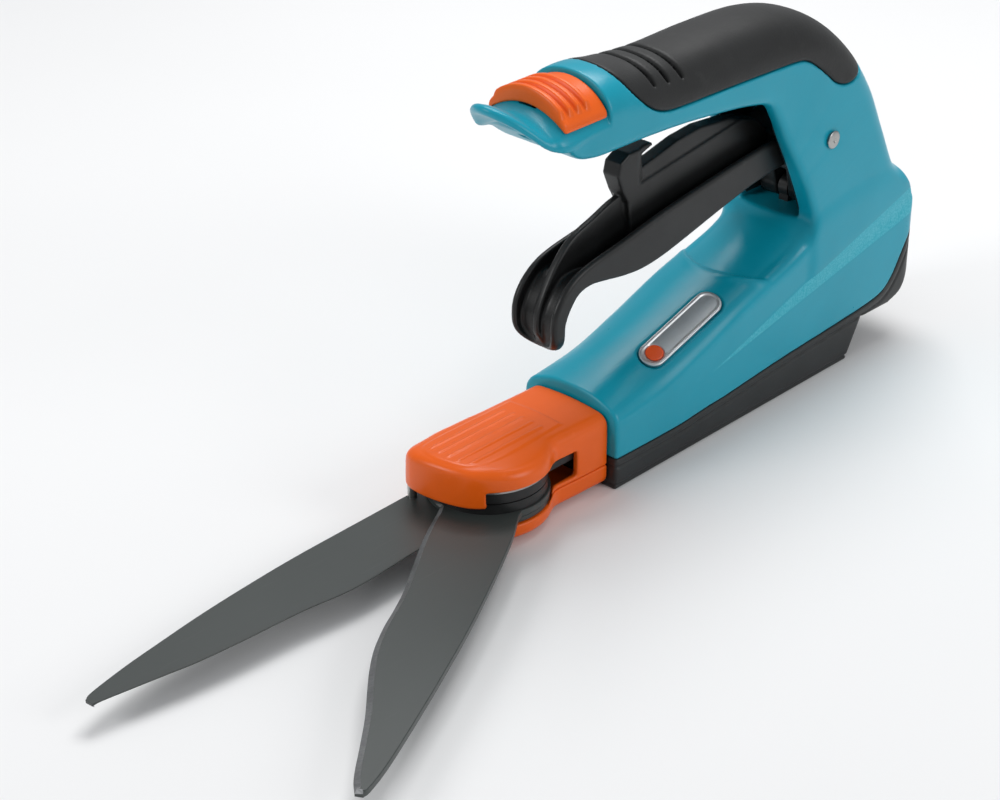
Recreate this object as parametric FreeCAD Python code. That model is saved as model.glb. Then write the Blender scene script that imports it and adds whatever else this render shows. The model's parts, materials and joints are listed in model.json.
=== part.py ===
# Hand-squeezed grass shears: swivelling cutting head, plunger drive, loop handle.
# Working axes while modelling: X = 0 at the front face of the base, +X towards the blade tips,
# +Y the tool's left side, Z = 0 on the flat foot.  export() moves everything FOOT_MID along +X,
# so that the finished frame's origin is the middle of the flat foot.
import FreeCAD, Part
import os, math
from FreeCAD import Vector as V

os.makedirs("parts", exist_ok=True)

# ---------------------------------------------------------------- driving dimensions (mm)
FOOT_MID = 62.0          # front face of the base to the middle of the 124 mm long foot
FOOT_LEN = 124.0
HALF_W = 20.3            # half width of the body
HANDLE_W = 16.7          # half width of the hand grip
WALL = 2.4               # moulded wall
HEAD_Z = 14.3            # height of the head's swivel axis
HEAD_W = 16.5            # half width of the head box
HEAD_TOP = 27.6
HEAD_BOT = 1.2
HEAD_SEAM = 8.4
PIV_X, PIV_R = 38.5, 5.0     # blade pivot (axis along Z) and its shank radius
EAR_R = 20.5             # round ears around the blade pivot
EAR_Z = 19.5             # underside of the upper ear
FIX_Z0, FIX_Z1 = 7.2, 9.0    # fixed (lower) blade
MOV_Z0, MOV_Z1 = 9.15, 11.2  # moving (upper) blade
OPEN_DEG = 31.0          # blade opening at rest
CRANK_R = 12.0           # crank pin radius about the blade pivot
TRIG_X, TRIG_Z = -108.3, 88.3   # trigger pin
TRIG_DEG = 16.0          # trigger travel
STROKE = 2 * CRANK_R * math.sin(math.radians(OPEN_DEG / 2))      # plunger travel, 6.41
ARM_R = STROKE / (2 * math.sin(math.radians(TRIG_DEG / 2)))      # trigger's lower arm, 23.0
ROD_X1 = -38.0           # clevis pin of the plunger at rest
LOCK_TRAVEL = 5.0        # lock slider

SHAPES = {}


def add(name, shape):
    """Keep one node; several disjoint solids are a compound."""
    SHAPES[name] = shape


def face_of(wire):
    return Part.Face(wire)


def poly(points):
    return Part.Wire(Part.makePolygon(points + [points[0]]))


def pxz(pts, y0, y1):
    """Polygon in XZ, extruded from y0 to y1."""
    return face_of(poly([V(x, y0, z) for x, z in pts])).extrude(V(0, y1 - y0, 0))


def pxy(pts, z0, z1):
    return face_of(poly([V(x, y, z0) for x, y in pts])).extrude(V(0, 0, z1 - z0))


def pyz(pts, x0, x1):
    return face_of(poly([V(x0, y, z) for y, z in pts])).extrude(V(x1 - x0, 0, 0))


def curve_wire(segs):
    """Closed wire from ('L' or 'S', [points]) runs; an 'S' run is a smooth spline."""
    edges = []
    for kind, pts in segs:
        if kind == "L":
            for a, b in zip(pts[:-1], pts[1:]):
                edges.append(Part.LineSegment(a, b).toShape())
        else:
            c = Part.BSplineCurve()
            c.interpolate(pts)
            edges.append(c.toShape())
    return Part.Wire(edges)


def sxz(segs, y0, y1):
    return face_of(curve_wire([(k, [V(x, y0, z) for x, z in p]) for k, p in segs])).extrude(V(0, y1 - y0, 0))


def sxy(segs, z0, z1):
    return face_of(curve_wire([(k, [V(x, y, z0) for x, y in p]) for k, p in segs])).extrude(V(0, 0, z1 - z0))


def box(x0, x1, y0, y1, z0, z1):
    return Part.makeBox(x1 - x0, y1 - y0, z1 - z0, V(x0, y0, z0))


def cyl(r, p, d, h):
    return Part.makeCylinder(r, h, V(*p), V(*d))


def tube(ro, ri, p, d, h):
    return cyl(ro, p, d, h).cut(cyl(ri, p, d, h))


def fuse(*s):
    r = s[0]
    for t in s[1:]:
        r = r.fuse(t)
    return r.removeSplitter()


def try_fillet(shape, edges, r):
    try:
        f = shape.makeFillet(r, edges)
        if f.isValid() and f.Volume > 0:
            return f
    except Exception:
        pass
    return shape


# ---------------------------------------------------------------- body envelope
# stations: x, side wall height, crown height
CROWN = [(-172, 59.0, 62.0), (-108, 59.0, 62.0), (-104, 57.5, 61.4), (-95, 51.5, 58.0), (-80, 47.0, 53.0),
         (-63, 42.5, 48.3), (-41.5, 34.5, 41.8), (-20, 27.6, 36.0), (-8, 26.6, 33.0), (0, 26.2, 31.6)]


def crown_solid(off):
    """Arched-top envelope of the body; off shrinks it all round."""
    wires = []
    for x, zs, zc in CROWN:
        w = HALF_W - off
        zs2, zc2 = zs - off, zc - off
        a, b, c, d = V(x, -w, -5), V(x, w, -5), V(x, w, zs2), V(x, -w, zs2)
        arc = Part.Arc(c, V(x, 0, zc2), d).toShape()
        wires.append(Part.Wire([Part.LineSegment(a, b).toShape(), Part.LineSegment(b, c).toShape(), arc,
                                Part.LineSegment(d, a).toShape()]))
    return Part.makeLoft(wires, True, True)


REAR = [(-148, 13.5), (-155.0, 16.0), (-160, 22), (-163.3, 30), (-164.8, 38), (-165.0, 44), (-163.4, 48.0), (-160.2, 53.4), (-154.8, 59)]


def body_profile(off, front):
    f = front
    rear = [(x + off, z + (off if z < 30 else 0)) for x, z in REAR]
    bottom = [(f, off), (-FOOT_LEN + off * .6, off), (-131.6 + off * .8, 13.8 + off), (-148 + off, 13.5 + off)]
    return [("L", bottom), ("S", rear), ("L", [rear[-1], (-150.0 + off, 68.0), (f, 68.0), (f, off)])]


def plan_solid(off, front):
    w = HALF_W - off
    r = 9.0 - off
    x0 = -165.4 + off
    pts = [V(front, -w, -6), V(x0 + r, -w, -6)]
    k = r * (1 - math.sqrt(.5))
    e = [Part.LineSegment(V(front, -w, -6), V(x0 + r, -w, -6)).toShape(),
         Part.Arc(V(x0 + r, -w, -6), V(x0 + k, -w + k, -6), V(x0, -w + r, -6)).toShape(),
         Part.LineSegment(V(x0, -w + r, -6), V(x0, w - r, -6)).toShape(),
         Part.Arc(V(x0, w - r, -6), V(x0 + k, w - k, -6), V(x0 + r, w, -6)).toShape(),
         Part.LineSegment(V(x0 + r, w, -6), V(front, w, -6)).toShape(),
         Part.LineSegment(V(front, w, -6), V(front, -w, -6)).toShape()]
    return face_of(Part.Wire(e)).extrude(V(0, 0, 120))


def body_solid(off, front):
    s = sxz(body_profile(off, front), -30, 30)
    return s.common(crown_solid(off)).common(plan_solid(off, front))


body_out = body_solid(0.0, 0.0)
body_in = body_solid(WALL, -10.0)

# ---------------------------------------------------------------- loop handle (lofted)
# outer point, inner point, half width, arch height, arch squareness
HAND = [((-165.0, 44), (-104, 44), 20.3, 10, 3.2),
        ((-158, 58.5), (-103, 56), 20.2, 10, 3.2),
        ((-150.6, 67), (-100.0, 66), 19.8, 10, 3.0),
        ((-142.6, 83), (-92.6, 81), 19.2, 10, 3.0),
        ((-134.2, 101.5), (-85.3, 93.5), 18.4, 11, 2.8),
        ((-122.5, 117.5), (-80.6, 102.4), 17.7, 12, 2.5),
        ((-106.5, 129.6), (-76.0, 108.3), 17.2, 13, 2.3),
        ((-87, 135.6), (-66.0, 111.0), 16.8, 13.5, 2.2),
        ((-62, 136.8), (-54.0, 112.8), HANDLE_W, 14, 2.2),
        ((-36, 136.4), (-34.0, 115.0), HANDLE_W, 14, 2.2),
        ((-16, 137.6), (-15.0, 116.0), HANDLE_W, 13.5, 2.2),
        ((-4, 139.6), (-4.0, 116.2), HANDLE_W, 13, 2.2),
        ((6, 138.4), (6.0, 116.4), HANDLE_W, 12, 2.2),
        ((16, 135.2), (15.0, 118.6), HANDLE_W, 10, 2.2),
        ((23.0, 131.8), (22.2, 123.8), HANDLE_W - .3, 6.6, 2.2)]


def hand_wire(o, i, w, h, n, off, open_in=0.0):
    O, I = V(o[0], 0, o[1]), V(i[0], 0, i[1])
    d = O.sub(I)
    L = d.Length
    d.multiply(1.0 / L)
    s0 = off if not open_in else -open_in
    s1 = L - off
    w = w - off
    h = min(h, s1 - s0 - 3.2)
    c = min(2.2, w / 4)

    def P(y, s):
        return V(I.x + d.x * s, y, I.z + d.z * s)

    arch = []
    N = 6
    for k in range(N + 1):
        a = math.pi / 2 * k / N
        arch.append((w * math.cos(a) ** (2.0 / n), s1 - h + h * math.sin(a) ** (2.0 / n)))
    right = [P(y, s) for y, s in arch]
    left = [P(-y, s) for y, s in reversed(arch)][1:]
    spline = Part.BSplineCurve()
    spline.interpolate(right + left)
    e = [Part.LineSegment(P(-w + c, s0), P(w - c, s0)).toShape(),
         Part.LineSegment(P(w - c, s0), P(w, s0 + c)).toShape(),
         Part.LineSegment(P(w, s0 + c), right[0]).toShape(),
         spline.toShape(),
         Part.LineSegment(left[-1], P(-w, s0 + c)).toShape(),
         Part.LineSegment(P(-w, s0 + c), P(-w + c, s0)).toShape()]
    return Part.Wire(e)


def hand_solid(off, first=0, last=None, open_in=0.0, offs=None):
    rows = HAND[first:last]
    ws = []
    for j, (o, i, w, h, n) in enumerate(rows):
        k = offs[first + j] if offs else off
        ws.append(hand_wire(o, i, w, h, n, k, open_in))
    return Part.makeLoft(ws, True, False)


hand_out = hand_solid(0.0)
GRIP_T = 2.0
hand_mid = hand_solid(GRIP_T, 4, 13)
offs = [WALL + .2] * 4 + [3.4, 4.4, 4.6, 4.6, 4.6, 4.6, 4.4, 4.2, 4.2, 3.4, 2.6]
post_in = hand_solid(0, 0, 8, 0.0, offs)
offs_h = offs[:6] + [5.6, 5.4, 5.0] + offs[9:]
hand_in = hand_solid(0, 6, 14, 4.0, offs_h)

# grip overmould: everything above its edge line on the handle
GRIP_EDGE = [(-116, 105.8), (-110, 107.7), (-104.8, 111.7), (-96.8, 117.8), (-89.7, 120.3), (-79.6, 120.8),
             (-52, 121.6), (-24.2, 122.3), (-14.1, 124.5), (-8.0, 133.3), (-4.5, 141), (-4.5, 150), (-140, 150), (-134, 112)]
grip_zone = pxz(GRIP_EDGE, -25, 25)
grip = hand_out.cut(hand_mid).common(grip_zone)

# ---------------------------------------------------------------- lip in front of the handle
LIP = [(10, 137.0, 128.0), (18, 134.0, 126.6), (24, 131.8, 125.4), (30, 133.6, 127.2), (36, 136.8, 130.6), (43.0, 139.4, 133.4)]


def lip_wires(dz):
    ws = []
    for x, zc, zs in LIP:
        a, m, b = V(x, 16.6, zs + dz), V(x, 0, zc + dz), V(x, -16.6, zs + dz)
        ws.append((a, m, b))
    return ws


def lip_solid():
    top, bot = lip_wires(0), lip_wires(-2.8)
    wires = []
    for (a, m, b), (c, n, d) in zip(top, bot):
        wires.append(Part.Wire([Part.Arc(a, m, b).toShape(), Part.LineSegment(b, d).toShape(),
                                Part.Arc(d, n, c).toShape(), Part.LineSegment(c, a).toShape()]))
    lip = Part.makeLoft(wires, True, False)
    plan = [(5, -17), (21.5, -17), (25.5, -16), (31, -13.4), (36.5, -9.6), (40.4, -5), (42.0, 0),
            (40.4, 5), (36.5, 9.6), (31, 13.4), (25.5, 16), (21.5, 17), (5, 17)]
    cut = sxy([("L", [plan[0], plan[1]]), ("S", plan[1:-1]), ("L", [plan[-2], plan[-1], plan[0]])], 100, 150)
    return lip.common(cut)


lip = lip_solid()

# ---------------------------------------------------------------- seam between base and upper housing
SEAM = [(2, 11.2), (-19, 10.9), (-33, 11.0), (-44, 11.8), (-56, 12.4), (-68, 13.4), (-80, 14.4), (-93.5, 15.3),
        (-107, 16), (-120, 16.8), (-134, 17.8), (-143.5, 19.6), (-149, 24.0), (-153.0, 30.0), (-157.0, 36.0), (-162, 40.5), (-170, 42.5)]
below = pxz(SEAM + [(-170, -10), (2, -10)], -30, 30)

# slot through the foot of the post for the trigger's rear end, and the open underside of the handle
TR_W = 9.5
slot_post = pxz([(-116, 60.5), (-84, 60.5), (-66, 104), (-60, 118), (-100, 118), (-122, 90)], -TR_W - 2.6, TR_W + 2.6)
rod_slot = box(-116.0, -99.4, -3.6, 3.6, 46.0, 66.0)

housing = body_out.cut(below).fuse(hand_out).fuse(lip)
housing = housing.cut(body_in).cut(post_in).cut(hand_in).cut(slot_post).cut(rod_slot)
housing = housing.cut(grip)
# bearing bore, pin bore, slot for the lock slider's stem, seat under the slider
bore_front = cyl(11.8, (-10.5, 0, HEAD_Z), (1, 0, 0), 12)
housing = housing.cut(bore_front)
housing = housing.cut(cyl(2.5, (TRIG_X, -30, TRIG_Z), (0, 1, 0), 60))
housing = housing.cut(box(11.6, 16.4 + LOCK_TRAVEL, -3.4, 3.4, 122, 142))

# ---------------------------------------------------------------- lock slider: arched cap with cross ridges
SL_X0, SL_X1 = 3.0, 22.0


def arch_band(x0, x1, zc, zs, t, w=16.0):
    a, m, b = V(x0, w, zs), V(x0, 0, zc), V(x0, -w, zs)
    c, n, d = V(x0, w, zs - t), V(x0, 0, zc - t), V(x0, -w, zs - t)
    wr = Part.Wire([Part.Arc(a, m, b).toShape(), Part.LineSegment(b, d).toShape(), Part.Arc(d, n, c).toShape(),
                    Part.LineSegment(c, a).toShape()])
    return face_of(wr).extrude(V(x1 - x0, 0, 0))


# level seat, concentric with the cap and 0.3 mm under it
seat_cut = face_of(Part.Wire([Part.Arc(V(SL_X0 - .25, 17.5, 124.5), V(SL_X0 - .25, 0, 135.3), V(SL_X0 - .25, -17.5, 124.5)).toShape(),
                              Part.LineSegment(V(SL_X0 - .25, -17.5, 124.5), V(SL_X0 - .25, -17.5, 150)).toShape(),
                              Part.LineSegment(V(SL_X0 - .25, -17.5, 150), V(SL_X0 - .25, 17.5, 150)).toShape(),
                              Part.LineSegment(V(SL_X0 - .25, 17.5, 150), V(SL_X0 - .25, 17.5, 124.5)).toShape()]))
seat_cut = seat_cut.extrude(V(28.0 - SL_X0, 0, 0))
housing = housing.cut(seat_cut)
cap = arch_band(SL_X0, SL_X1, 138.2, 130.2, 2.6, 15.8)
ridges = [arch_band(x, x + 1.6, 139.2, 134.5, 1.6, 12.6) for x in (9.0, 12.7, 16.4, 20.1)]
slider = fuse(cap, *ridges)
stem = box(12.0, 16.0, -3.0, 3.0, 130.8, 136.5)
slider = fuse(slider, stem)
add("lock_slider", slider)
latch = fuse(box(-51.2, 16.0, -3.0, 3.0, 129.2, 130.8), box(-51.2, -48.7, -3.0, 3.0, 120.6, 129.8),
             box(-48.7, -43.0, -3.0, 3.0, 120.6, 123.4))
add("latch_bar", latch)

# ---------------------------------------------------------------- base
base = body_out.common(below).cut(body_in).cut(bore_front)
posts = []
SCREWS = [(-24, 15.2), (-24, -15.2), (-112, 15.0), (-112, -15.0)]
for x, y in SCREWS:
    base = base.fuse(cyl(3.4, (x, y, 1.0), (0, 0, 1), 9.4 if x > -50 else 14.0))
for x, y in SCREWS:
    base = base.cut(cyl(1.65, (x, y, -1), (0, 0, 1), 20)).cut(cyl(3.1, (x, y, -1), (0, 0, 1), 3.6))
base = base.cut(box(-16.5, -14.0, -30, 30, -1, 0.5))
add("base_cover", base.removeSplitter())
bosses = []
for x, y in SCREWS:
    top = 28.0 if x > -50 else 40.0
    z0 = 10.6 if x > -50 else 15.2
    b = cyl(3.3, (x, y, z0), (0, 0, 1), top - z0).cut(cyl(1.5, (x, y, z0 - 1), (0, 0, 1), 14))
    # web to the side wall
    web = box(x - .8, x + .8, min(y, math.copysign(18.6, y)), max(y, math.copysign(18.6, y)), z0, top)
    web = web.cut(cyl(3.2, (x, y, z0 - 1), (0, 0, 1), 60))
    bosses.append(b.fuse(web))
housing = housing.fuse(bosses[0]).fuse(bosses[1]).fuse(bosses[2]).fuse(bosses[3])

# badge plate recess on the sloping left flank of the neck
BX, BY = -41.0, 11.0


def crown_at(x, y, off=0.0):
    for (x0, a0, c0), (x1, a1, c1) in zip(CROWN[:-1], CROWN[1:]):
        if x0 <= x <= x1:
            t = (x - x0) / (x1 - x0)
            zs, zc = a0 + t * (a1 - a0), c0 + t * (c1 - c0)
            s = zc - zs
            R = (HALF_W ** 2 + s * s) / (2 * s)
            return zc - R + math.sqrt(R * R - y * y) - off
    return 0


def stadium(cx, cy, l, w, t):
    """Stadium plate, long side along X, thickness t up from z = 0."""
    r = w / 2
    h = l / 2 - r
    e = [Part.LineSegment(V(-h, -r, 0), V(h, -r, 0)).toShape(), Part.Arc(V(h, -r, 0), V(h + r, 0, 0), V(h, r, 0)).toShape(),
         Part.LineSegment(V(h, r, 0), V(-h, r, 0)).toShape(), Part.Arc(V(-h, r, 0), V(-h - r, 0, 0), V(-h, -r, 0)).toShape()]
    s = face_of(Part.Wire(e)).extrude(V(0, 0, t))
    s.translate(V(cx, cy, 0))
    return s


zb = crown_at(BX, BY)
nx = (crown_at(BX + 8, BY) - crown_at(BX - 8, BY)) / 16
ny = (crown_at(BX, BY + 2) - crown_at(BX, BY - 2)) / 4
normal = V(-nx, -ny, 1)
rot = FreeCAD.Rotation(V(0, 0, 1), normal)


def on_flank(shape, dz):
    s = shape.copy()
    n = V(normal)
    n.normalize()
    s.Placement = FreeCAD.Placement(V(BX, BY, zb).add(n.multiply(dz)), rot).multiply(s.Placement)
    return s


plate = on_flank(stadium(0, 0, 38.0, 9.2, 1.6), -0.9)
pocket = on_flank(stadium(0, 0, 38.0, 9.2, 3.0), -0.9)
housing = housing.cut(pocket)
inlay = on_flank(stadium(13.4, 0, 7.4, 6.2, 0.6), 0.45)
plate = plate.cut(inlay)
add("badge_plate", plate)
add("badge_inlay", inlay)
housing = housing.removeSplitter()
if len(housing.Solids) > 1:
    big = max(housing.Solids, key=lambda s: s.Volume)
    print("housing solids", [round(s.Volume, 2) for s in housing.Solids])
    housing = big
add("upper_housing", housing)
if len(grip.Solids) > 1:
    print("grip solids", [round(s.Volume, 2) for s in grip.Solids])
    grip = max(grip.Solids, key=lambda s: s.Volume)
# finger grooves across the front of the grip
for k in range(3):
    gx = -22.0 + 5.2 * k
    g = Part.makeTorus(16.2, 0.75, V(gx, 0, 121.5), V(1, 0.0, -0.25))
    grip = grip.cut(g)
if len(grip.Solids) > 1:
    grip = max(grip.Solids, key=lambda s: s.Volume)
add("grip_overmould", grip)

# screws
scr = []
for x, y in SCREWS:
    scr.append(fuse(cyl(2.9, (x, y, 0.7), (0, 0, 1), 1.7), cyl(1.5, (x, y, 2.3), (0, 0, 1), 16.0 if x < -50 else 13.0)))
for i, (x, y) in enumerate(SCREWS):
    scr[i] = scr[i].cut(box(x - 2.2, x + 2.2, y - .35, y + .35, 0, 1.5))
add("base_screws", Part.makeCompound(scr))

# ---------------------------------------------------------------- trigger
C8 = math.radians(TRIG_DEG / 2)
ARM_X, ARM_Z = TRIG_X - ARM_R * math.sin(C8), TRIG_Z - ARM_R * math.cos(C8)
rim = [(-96, 91.6), (-80, 90.2), (-64, 88.3), (-35, 84.2), (-13, 80.0), (0, 77.8), (8, 75.4), (14, 71.2), (17.6, 66), (18.6, 60.5), (17.6, 54.5), (14.2, 50.4), (10.6, 48.8)]
low = [(10.6, 48.8), (11.8, 52.5), (12.9, 57.0), (12.6, 61.0), (10.2, 65.5), (6.5, 69.0), (1.0, 70.0), (-6, 69.1), (-14, 67.8), (-23, 67.2),
       (-33, 68.3), (-45, 70.9), (-64, 75.4), (-80, 78.6), (-96, 80.4)]
outer = sxz([("S", rim), ("S", low), ("L", [low[-1], rim[0]])], -TR_W, TR_W)


def u_solid(r):
    """U-shaped section: straight sides, half round below z = 58.3."""
    e = [Part.LineSegment(V(-97, -r, 120), V(-97, -r, 58.3)).toShape(), Part.Arc(V(-97, -r, 58.3), V(-97, 0, 58.3 - r), V(-97, r, 58.3)).toShape(),
         Part.LineSegment(V(-97, r, 58.3), V(-97, r, 120)).toShape(), Part.LineSegment(V(-97, r, 120), V(-97, -r, 120)).toShape()]
    return face_of(Part.Wire(e)).extrude(V(130, 0, 0))


outer = outer.common(u_solid(TR_W))
rim_in = [(-93, 96), (-64, 93), (-35, 90), (-13, 86), (2, 84), (12, 80), (19, 74), (23, 66), (24, 60), (21, 55.5), (14.6, 50.6)]
low_in = [(14.6, 50.6), (15.0, 53.5), (15.5, 57.5), (15.2, 62.0), (12.4, 67.2), (7.4, 71.5), (1.2, 72.6), (-6, 71.6), (-14, 70.3), (-23, 69.6), (-33, 70.8),
          (-45, 73.4), (-64, 77.9), (-93, 82.8)]
pocket_t = sxz([("S", rim_in), ("S", low_in), ("L", [low_in[-1], rim_in[0]])], -TR_W + 2.3, TR_W - 2.3).common(u_solid(TR_W - 2.3))
chan = outer.cut(pocket_t)
rib = pxz([(-96, 90.4), (-80, 90.6), (-64, 90.6), (-44, 90.8), (-22.6, 90.6), (-8.6, 86.6), (1.4, 82.8), (7.8, 77.4), (12.6, 71.0), (15.6, 65.0), (17.0, 60.4), (16.6, 56.0),
           (14.2, 52.4), (12.2, 53.6), (13.6, 57.2), (13.4, 61.4), (10.8, 66.2), (6.8, 69.8),
           (1.0, 71.0), (-6, 70.2), (-14, 68.9), (-23, 68.4), (-33, 69.5), (-45, 72.1), (-64, 76.6), (-96, 81.6)], -1.3, 1.3)
web = pxz([(-92, 84), (-92, 93), (-86, 98.0), (-72, 102.0), (-58, 103.2), (-47, 102.2), (-37.0, 99.9), (-29.4, 98.4), (-28.5, 102.7), (-34.2, 104.4), (-33.6, 105.4), (-22, 105.2),
           (-17.8, 103.0), (-16.8, 98.9), (-19.6, 92.5), (-22.0, 88.5), (-24.0, 76)], -3.4, 3.4)
hub = cyl(8.2, (TRIG_X, -TR_W, TRIG_Z), (0, 1, 0), 2 * TR_W)
neck = pxz([(-94, 82.5), (-94, 91.4), (TRIG_X + 2, 95.5), (TRIG_X - 3, 81)], -TR_W, TR_W)
arm = pxz([(TRIG_X - 6.5, TRIG_Z - 3), (TRIG_X + 6.5, TRIG_Z - 3), (ARM_X + 4.5, ARM_Z), (ARM_X - 4.5, ARM_Z)], -TR_W, TR_W)
arm = arm.fuse(cyl(4.5, (ARM_X, -TR_W, ARM_Z), (0, 1, 0), 2 * TR_W))
trig = fuse(chan, rib, web, hub, neck, arm)
trig = trig.cut(cyl(2.56, (TRIG_X, -20, TRIG_Z), (0, 1, 0), 40))
# fork for the rod
trig = trig.cut(pxz([(ARM_X - 9, ARM_Z - 8), (ARM_X + 12, ARM_Z - 8), (ARM_X + 12, ARM_Z + 8.4), (ARM_X - 9, ARM_Z + 8.4)], -2.6, 2.6))
trig = trig.cut(cyl(2.0, (ARM_X, -20, ARM_Z), (0, 1, 0), 40))
if len(trig.Solids) > 1:
    print("trigger solids", [round(s.Volume, 2) for s in trig.Solids])
    trig = max(trig.Solids, key=lambda s: s.Volume)
add("trigger_lever", trig)
add("arm_pin", cyl(2.0, (ARM_X, -TR_W + .2, ARM_Z), (0, 1, 0), 2 * TR_W - .4))
# trigger pin: rivet across the post, a low domed head each side
wp = 19.05
pin = cyl(2.5, (TRIG_X, -wp, TRIG_Z), (0, 1, 0), 2 * wp)
for s in (1, -1):
    pin = pin.fuse(cyl(3.2, (TRIG_X, s * wp, TRIG_Z), (0, s, 0), 0.9))
add("trigger_pin", pin.removeSplitter())
# bushes between trigger hub and housing wall
b1 = tube(4.2, 2.55, (TRIG_X, TR_W + .15, TRIG_Z), (0, 1, 0), 5.6)
b2 = tube(4.2, 2.55, (TRIG_X, -TR_W - .15 - 5.6, TRIG_Z), (0, 1, 0), 5.6)
add("pin_spacers", Part.makeCompound([b1, b2]))
# dark liner inside the post's mouth: two cheeks and a back strip
cheek = [(-112, 62.2), (-104, 62.2), (-98.6, 71.5), (-90.2, 88), (-85.6, 98), (-88, 102.6), (-118, 103), (-126.5, 102.5), (-133.5, 90), (-142, 72), (-145, 64)]
liner = pxz(cheek, 10.9, 11.9).fuse(pxz(cheek, -11.9, -10.9))
liner = liner.fuse(pxz([(-142.4, 66.6), (-135.6, 81.4), (-127.2, 99.4), (-128.6, 100.0), (-137.0, 82.0), (-143.8, 67.2)], -10.95, 10.95))
liner = liner.cut(cyl(7.0, (TRIG_X, -20, TRIG_Z), (0, 1, 0), 40)).removeSplitter()
add("post_liner", liner)
# return spring: torsion coil around the left spacer, with two straight legs
turns = 3.0
hel = Part.makeHelix(1.5, 1.5 * turns, 5.6)
prof = Part.Wire(Part.makeCircle(0.6, V(5.6, 0, 0), V(0, 1, 0)))
coil = Part.Wire(hel.Edges).makePipeShell([prof], True, True)
coil.rotate(V(0, 0, 0), V(1, 0, 0), -90)
coil.translate(V(TRIG_X, TR_W + .9, TRIG_Z))
add("return_spring", coil)

# ---------------------------------------------------------------- connecting rod and plunger
RX0, RZ0, RX1, RZ1 = ARM_X, ARM_Z, ROD_X1, HEAD_Z
# cranked rod: steep behind the post's foot, then along under the neck
BEND = (RX0 + 2.0, RZ0 - 26.0)


def bar_xz(p, q, h, y):
    d = V(q[0] - p[0], 0, q[1] - p[1])
    d.normalize()
    n = V(-d.z, 0, d.x).multiply(h)
    return pxz([(p[0] + n.x, p[1] + n.z), (q[0] + n.x, q[1] + n.z), (q[0] - n.x, q[1] - n.z), (p[0] - n.x, p[1] - n.z)], -y, y)


rod = fuse(bar_xz((RX0, RZ0), BEND, 3.0, 1.9), bar_xz(BEND, (RX1, RZ1), 3.0, 1.9), cyl(3.0, (BEND[0], -1.9, BEND[1]), (0, 1, 0), 3.8),
           cyl(4.2, (RX0, -1.9, RZ0), (0, 1, 0), 3.8), cyl(4.4, (RX1, -1.9, RZ1), (0, 1, 0), 3.8))
rod = rod.cut(cyl(2.05, (RX0, -5, RZ0), (0, 1, 0), 10)).cut(cyl(2.4, (RX1, -5, RZ1), (0, 1, 0), 10)).removeSplitter()
add("connecting_rod", rod)
clevis = box(ROD_X1 - 5.2, ROD_X1 + 7.2, -5.4, 5.4, HEAD_Z - 5.2, HEAD_Z + 5.2)
clevis = clevis.cut(box(ROD_X1 - 9, ROD_X1 + 5.6, -2.4, 2.4, HEAD_Z - 9, HEAD_Z + 9))
plunger = clevis.fuse(cyl(4.0, (ROD_X1 + 7, 0, HEAD_Z), (1, 0, 0), 4.4 - (ROD_X1 + 7)))
plunger = plunger.fuse(cyl(2.4, (4.0, 0, HEAD_Z), (1, 0, 0), 4.0)).fuse(cyl(4.4, (7.4, 0, HEAD_Z), (1, 0, 0), 2.0))
plunger = plunger.cut(cyl(2.0, (ROD_X1, -10, HEAD_Z), (0, 1, 0), 20)).removeSplitter()
add("plunger", plunger)
add("clevis_pin", cyl(2.0, (ROD_X1, -5.4, HEAD_Z), (0, 1, 0), 10.8))
guide = box(-23.4, -15.4, -9.5, 9.5, 2.45, 22.0).cut(cyl(4.06, (-30, 0, HEAD_Z), (1, 0, 0), 30))
guide = try_fillet(guide, [e for e in guide.Edges if abs(e.BoundBox.XLength - 8.0) < .01 and e.BoundBox.ZLength < .01 and abs(abs(e.BoundBox.YMin) - 9.5) < .01], 2.0)
guide_l = guide
add("plunger_guide", guide_l)

# ---------------------------------------------------------------- neck bush, swivel spigot
add("neck_bush", tube(11.8, 9.56, (-10.0, 0, HEAD_Z), (1, 0, 0), 9.6))
spig = tube(9.5, 5.2, (-14.0, 0, HEAD_Z), (1, 0, 0), 18.0).fuse(tube(12.6, 5.2, (0.9, 0, HEAD_Z), (1, 0, 0), 3.1))
spig = spig.cut(tube(12, 8.2, (-12.2, 0, HEAD_Z), (1, 0, 0), 1.6)).removeSplitter()
# three shallow click seats in the flange's rear face at a quarter turn
for a in (0, 90, 180, 270):
    ca, sa = math.cos(math.radians(a)), math.sin(math.radians(a))
    spig = spig.cut(Part.makeSphere(1.5, V(0.2, 11.0 * sa, HEAD_Z + 11.0 * ca)))
add("swivel_spigot", spig)
ring = tube(11.7, 8.25, (-12.1, 0, HEAD_Z), (1, 0, 0), 1.4).cut(box(-13, -10, -2.2, 2.2, HEAD_Z - 14, HEAD_Z - 6))
add("retaining_ring", ring)

# ---------------------------------------------------------------- head covers
def plan_head(off=0.0, z0=0, z1=1, front=True, r=EAR_R):
    w = HEAD_W - off
    s = box(0.4 + off, PIV_X, -w, w, z0, z1).fuse(cyl(r - off, (PIV_X, 0, z0), (0, 0, 1), z1 - z0))
    if front:
        pts = [(44, 17.0), (51.6, 15.6), (55.2, 12.6), (57.2, 9.6), (59.4, 4.4), (60.8, -1.3), (61.4, -7.4), (61.0, -13.0),
               (59.6, -16.2), (56.4, -17.8), (50, -18.4), (44, -18.6)]
        s = s.fuse(pxy(pts, z0, z1))
    return s.removeSplitter()


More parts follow.
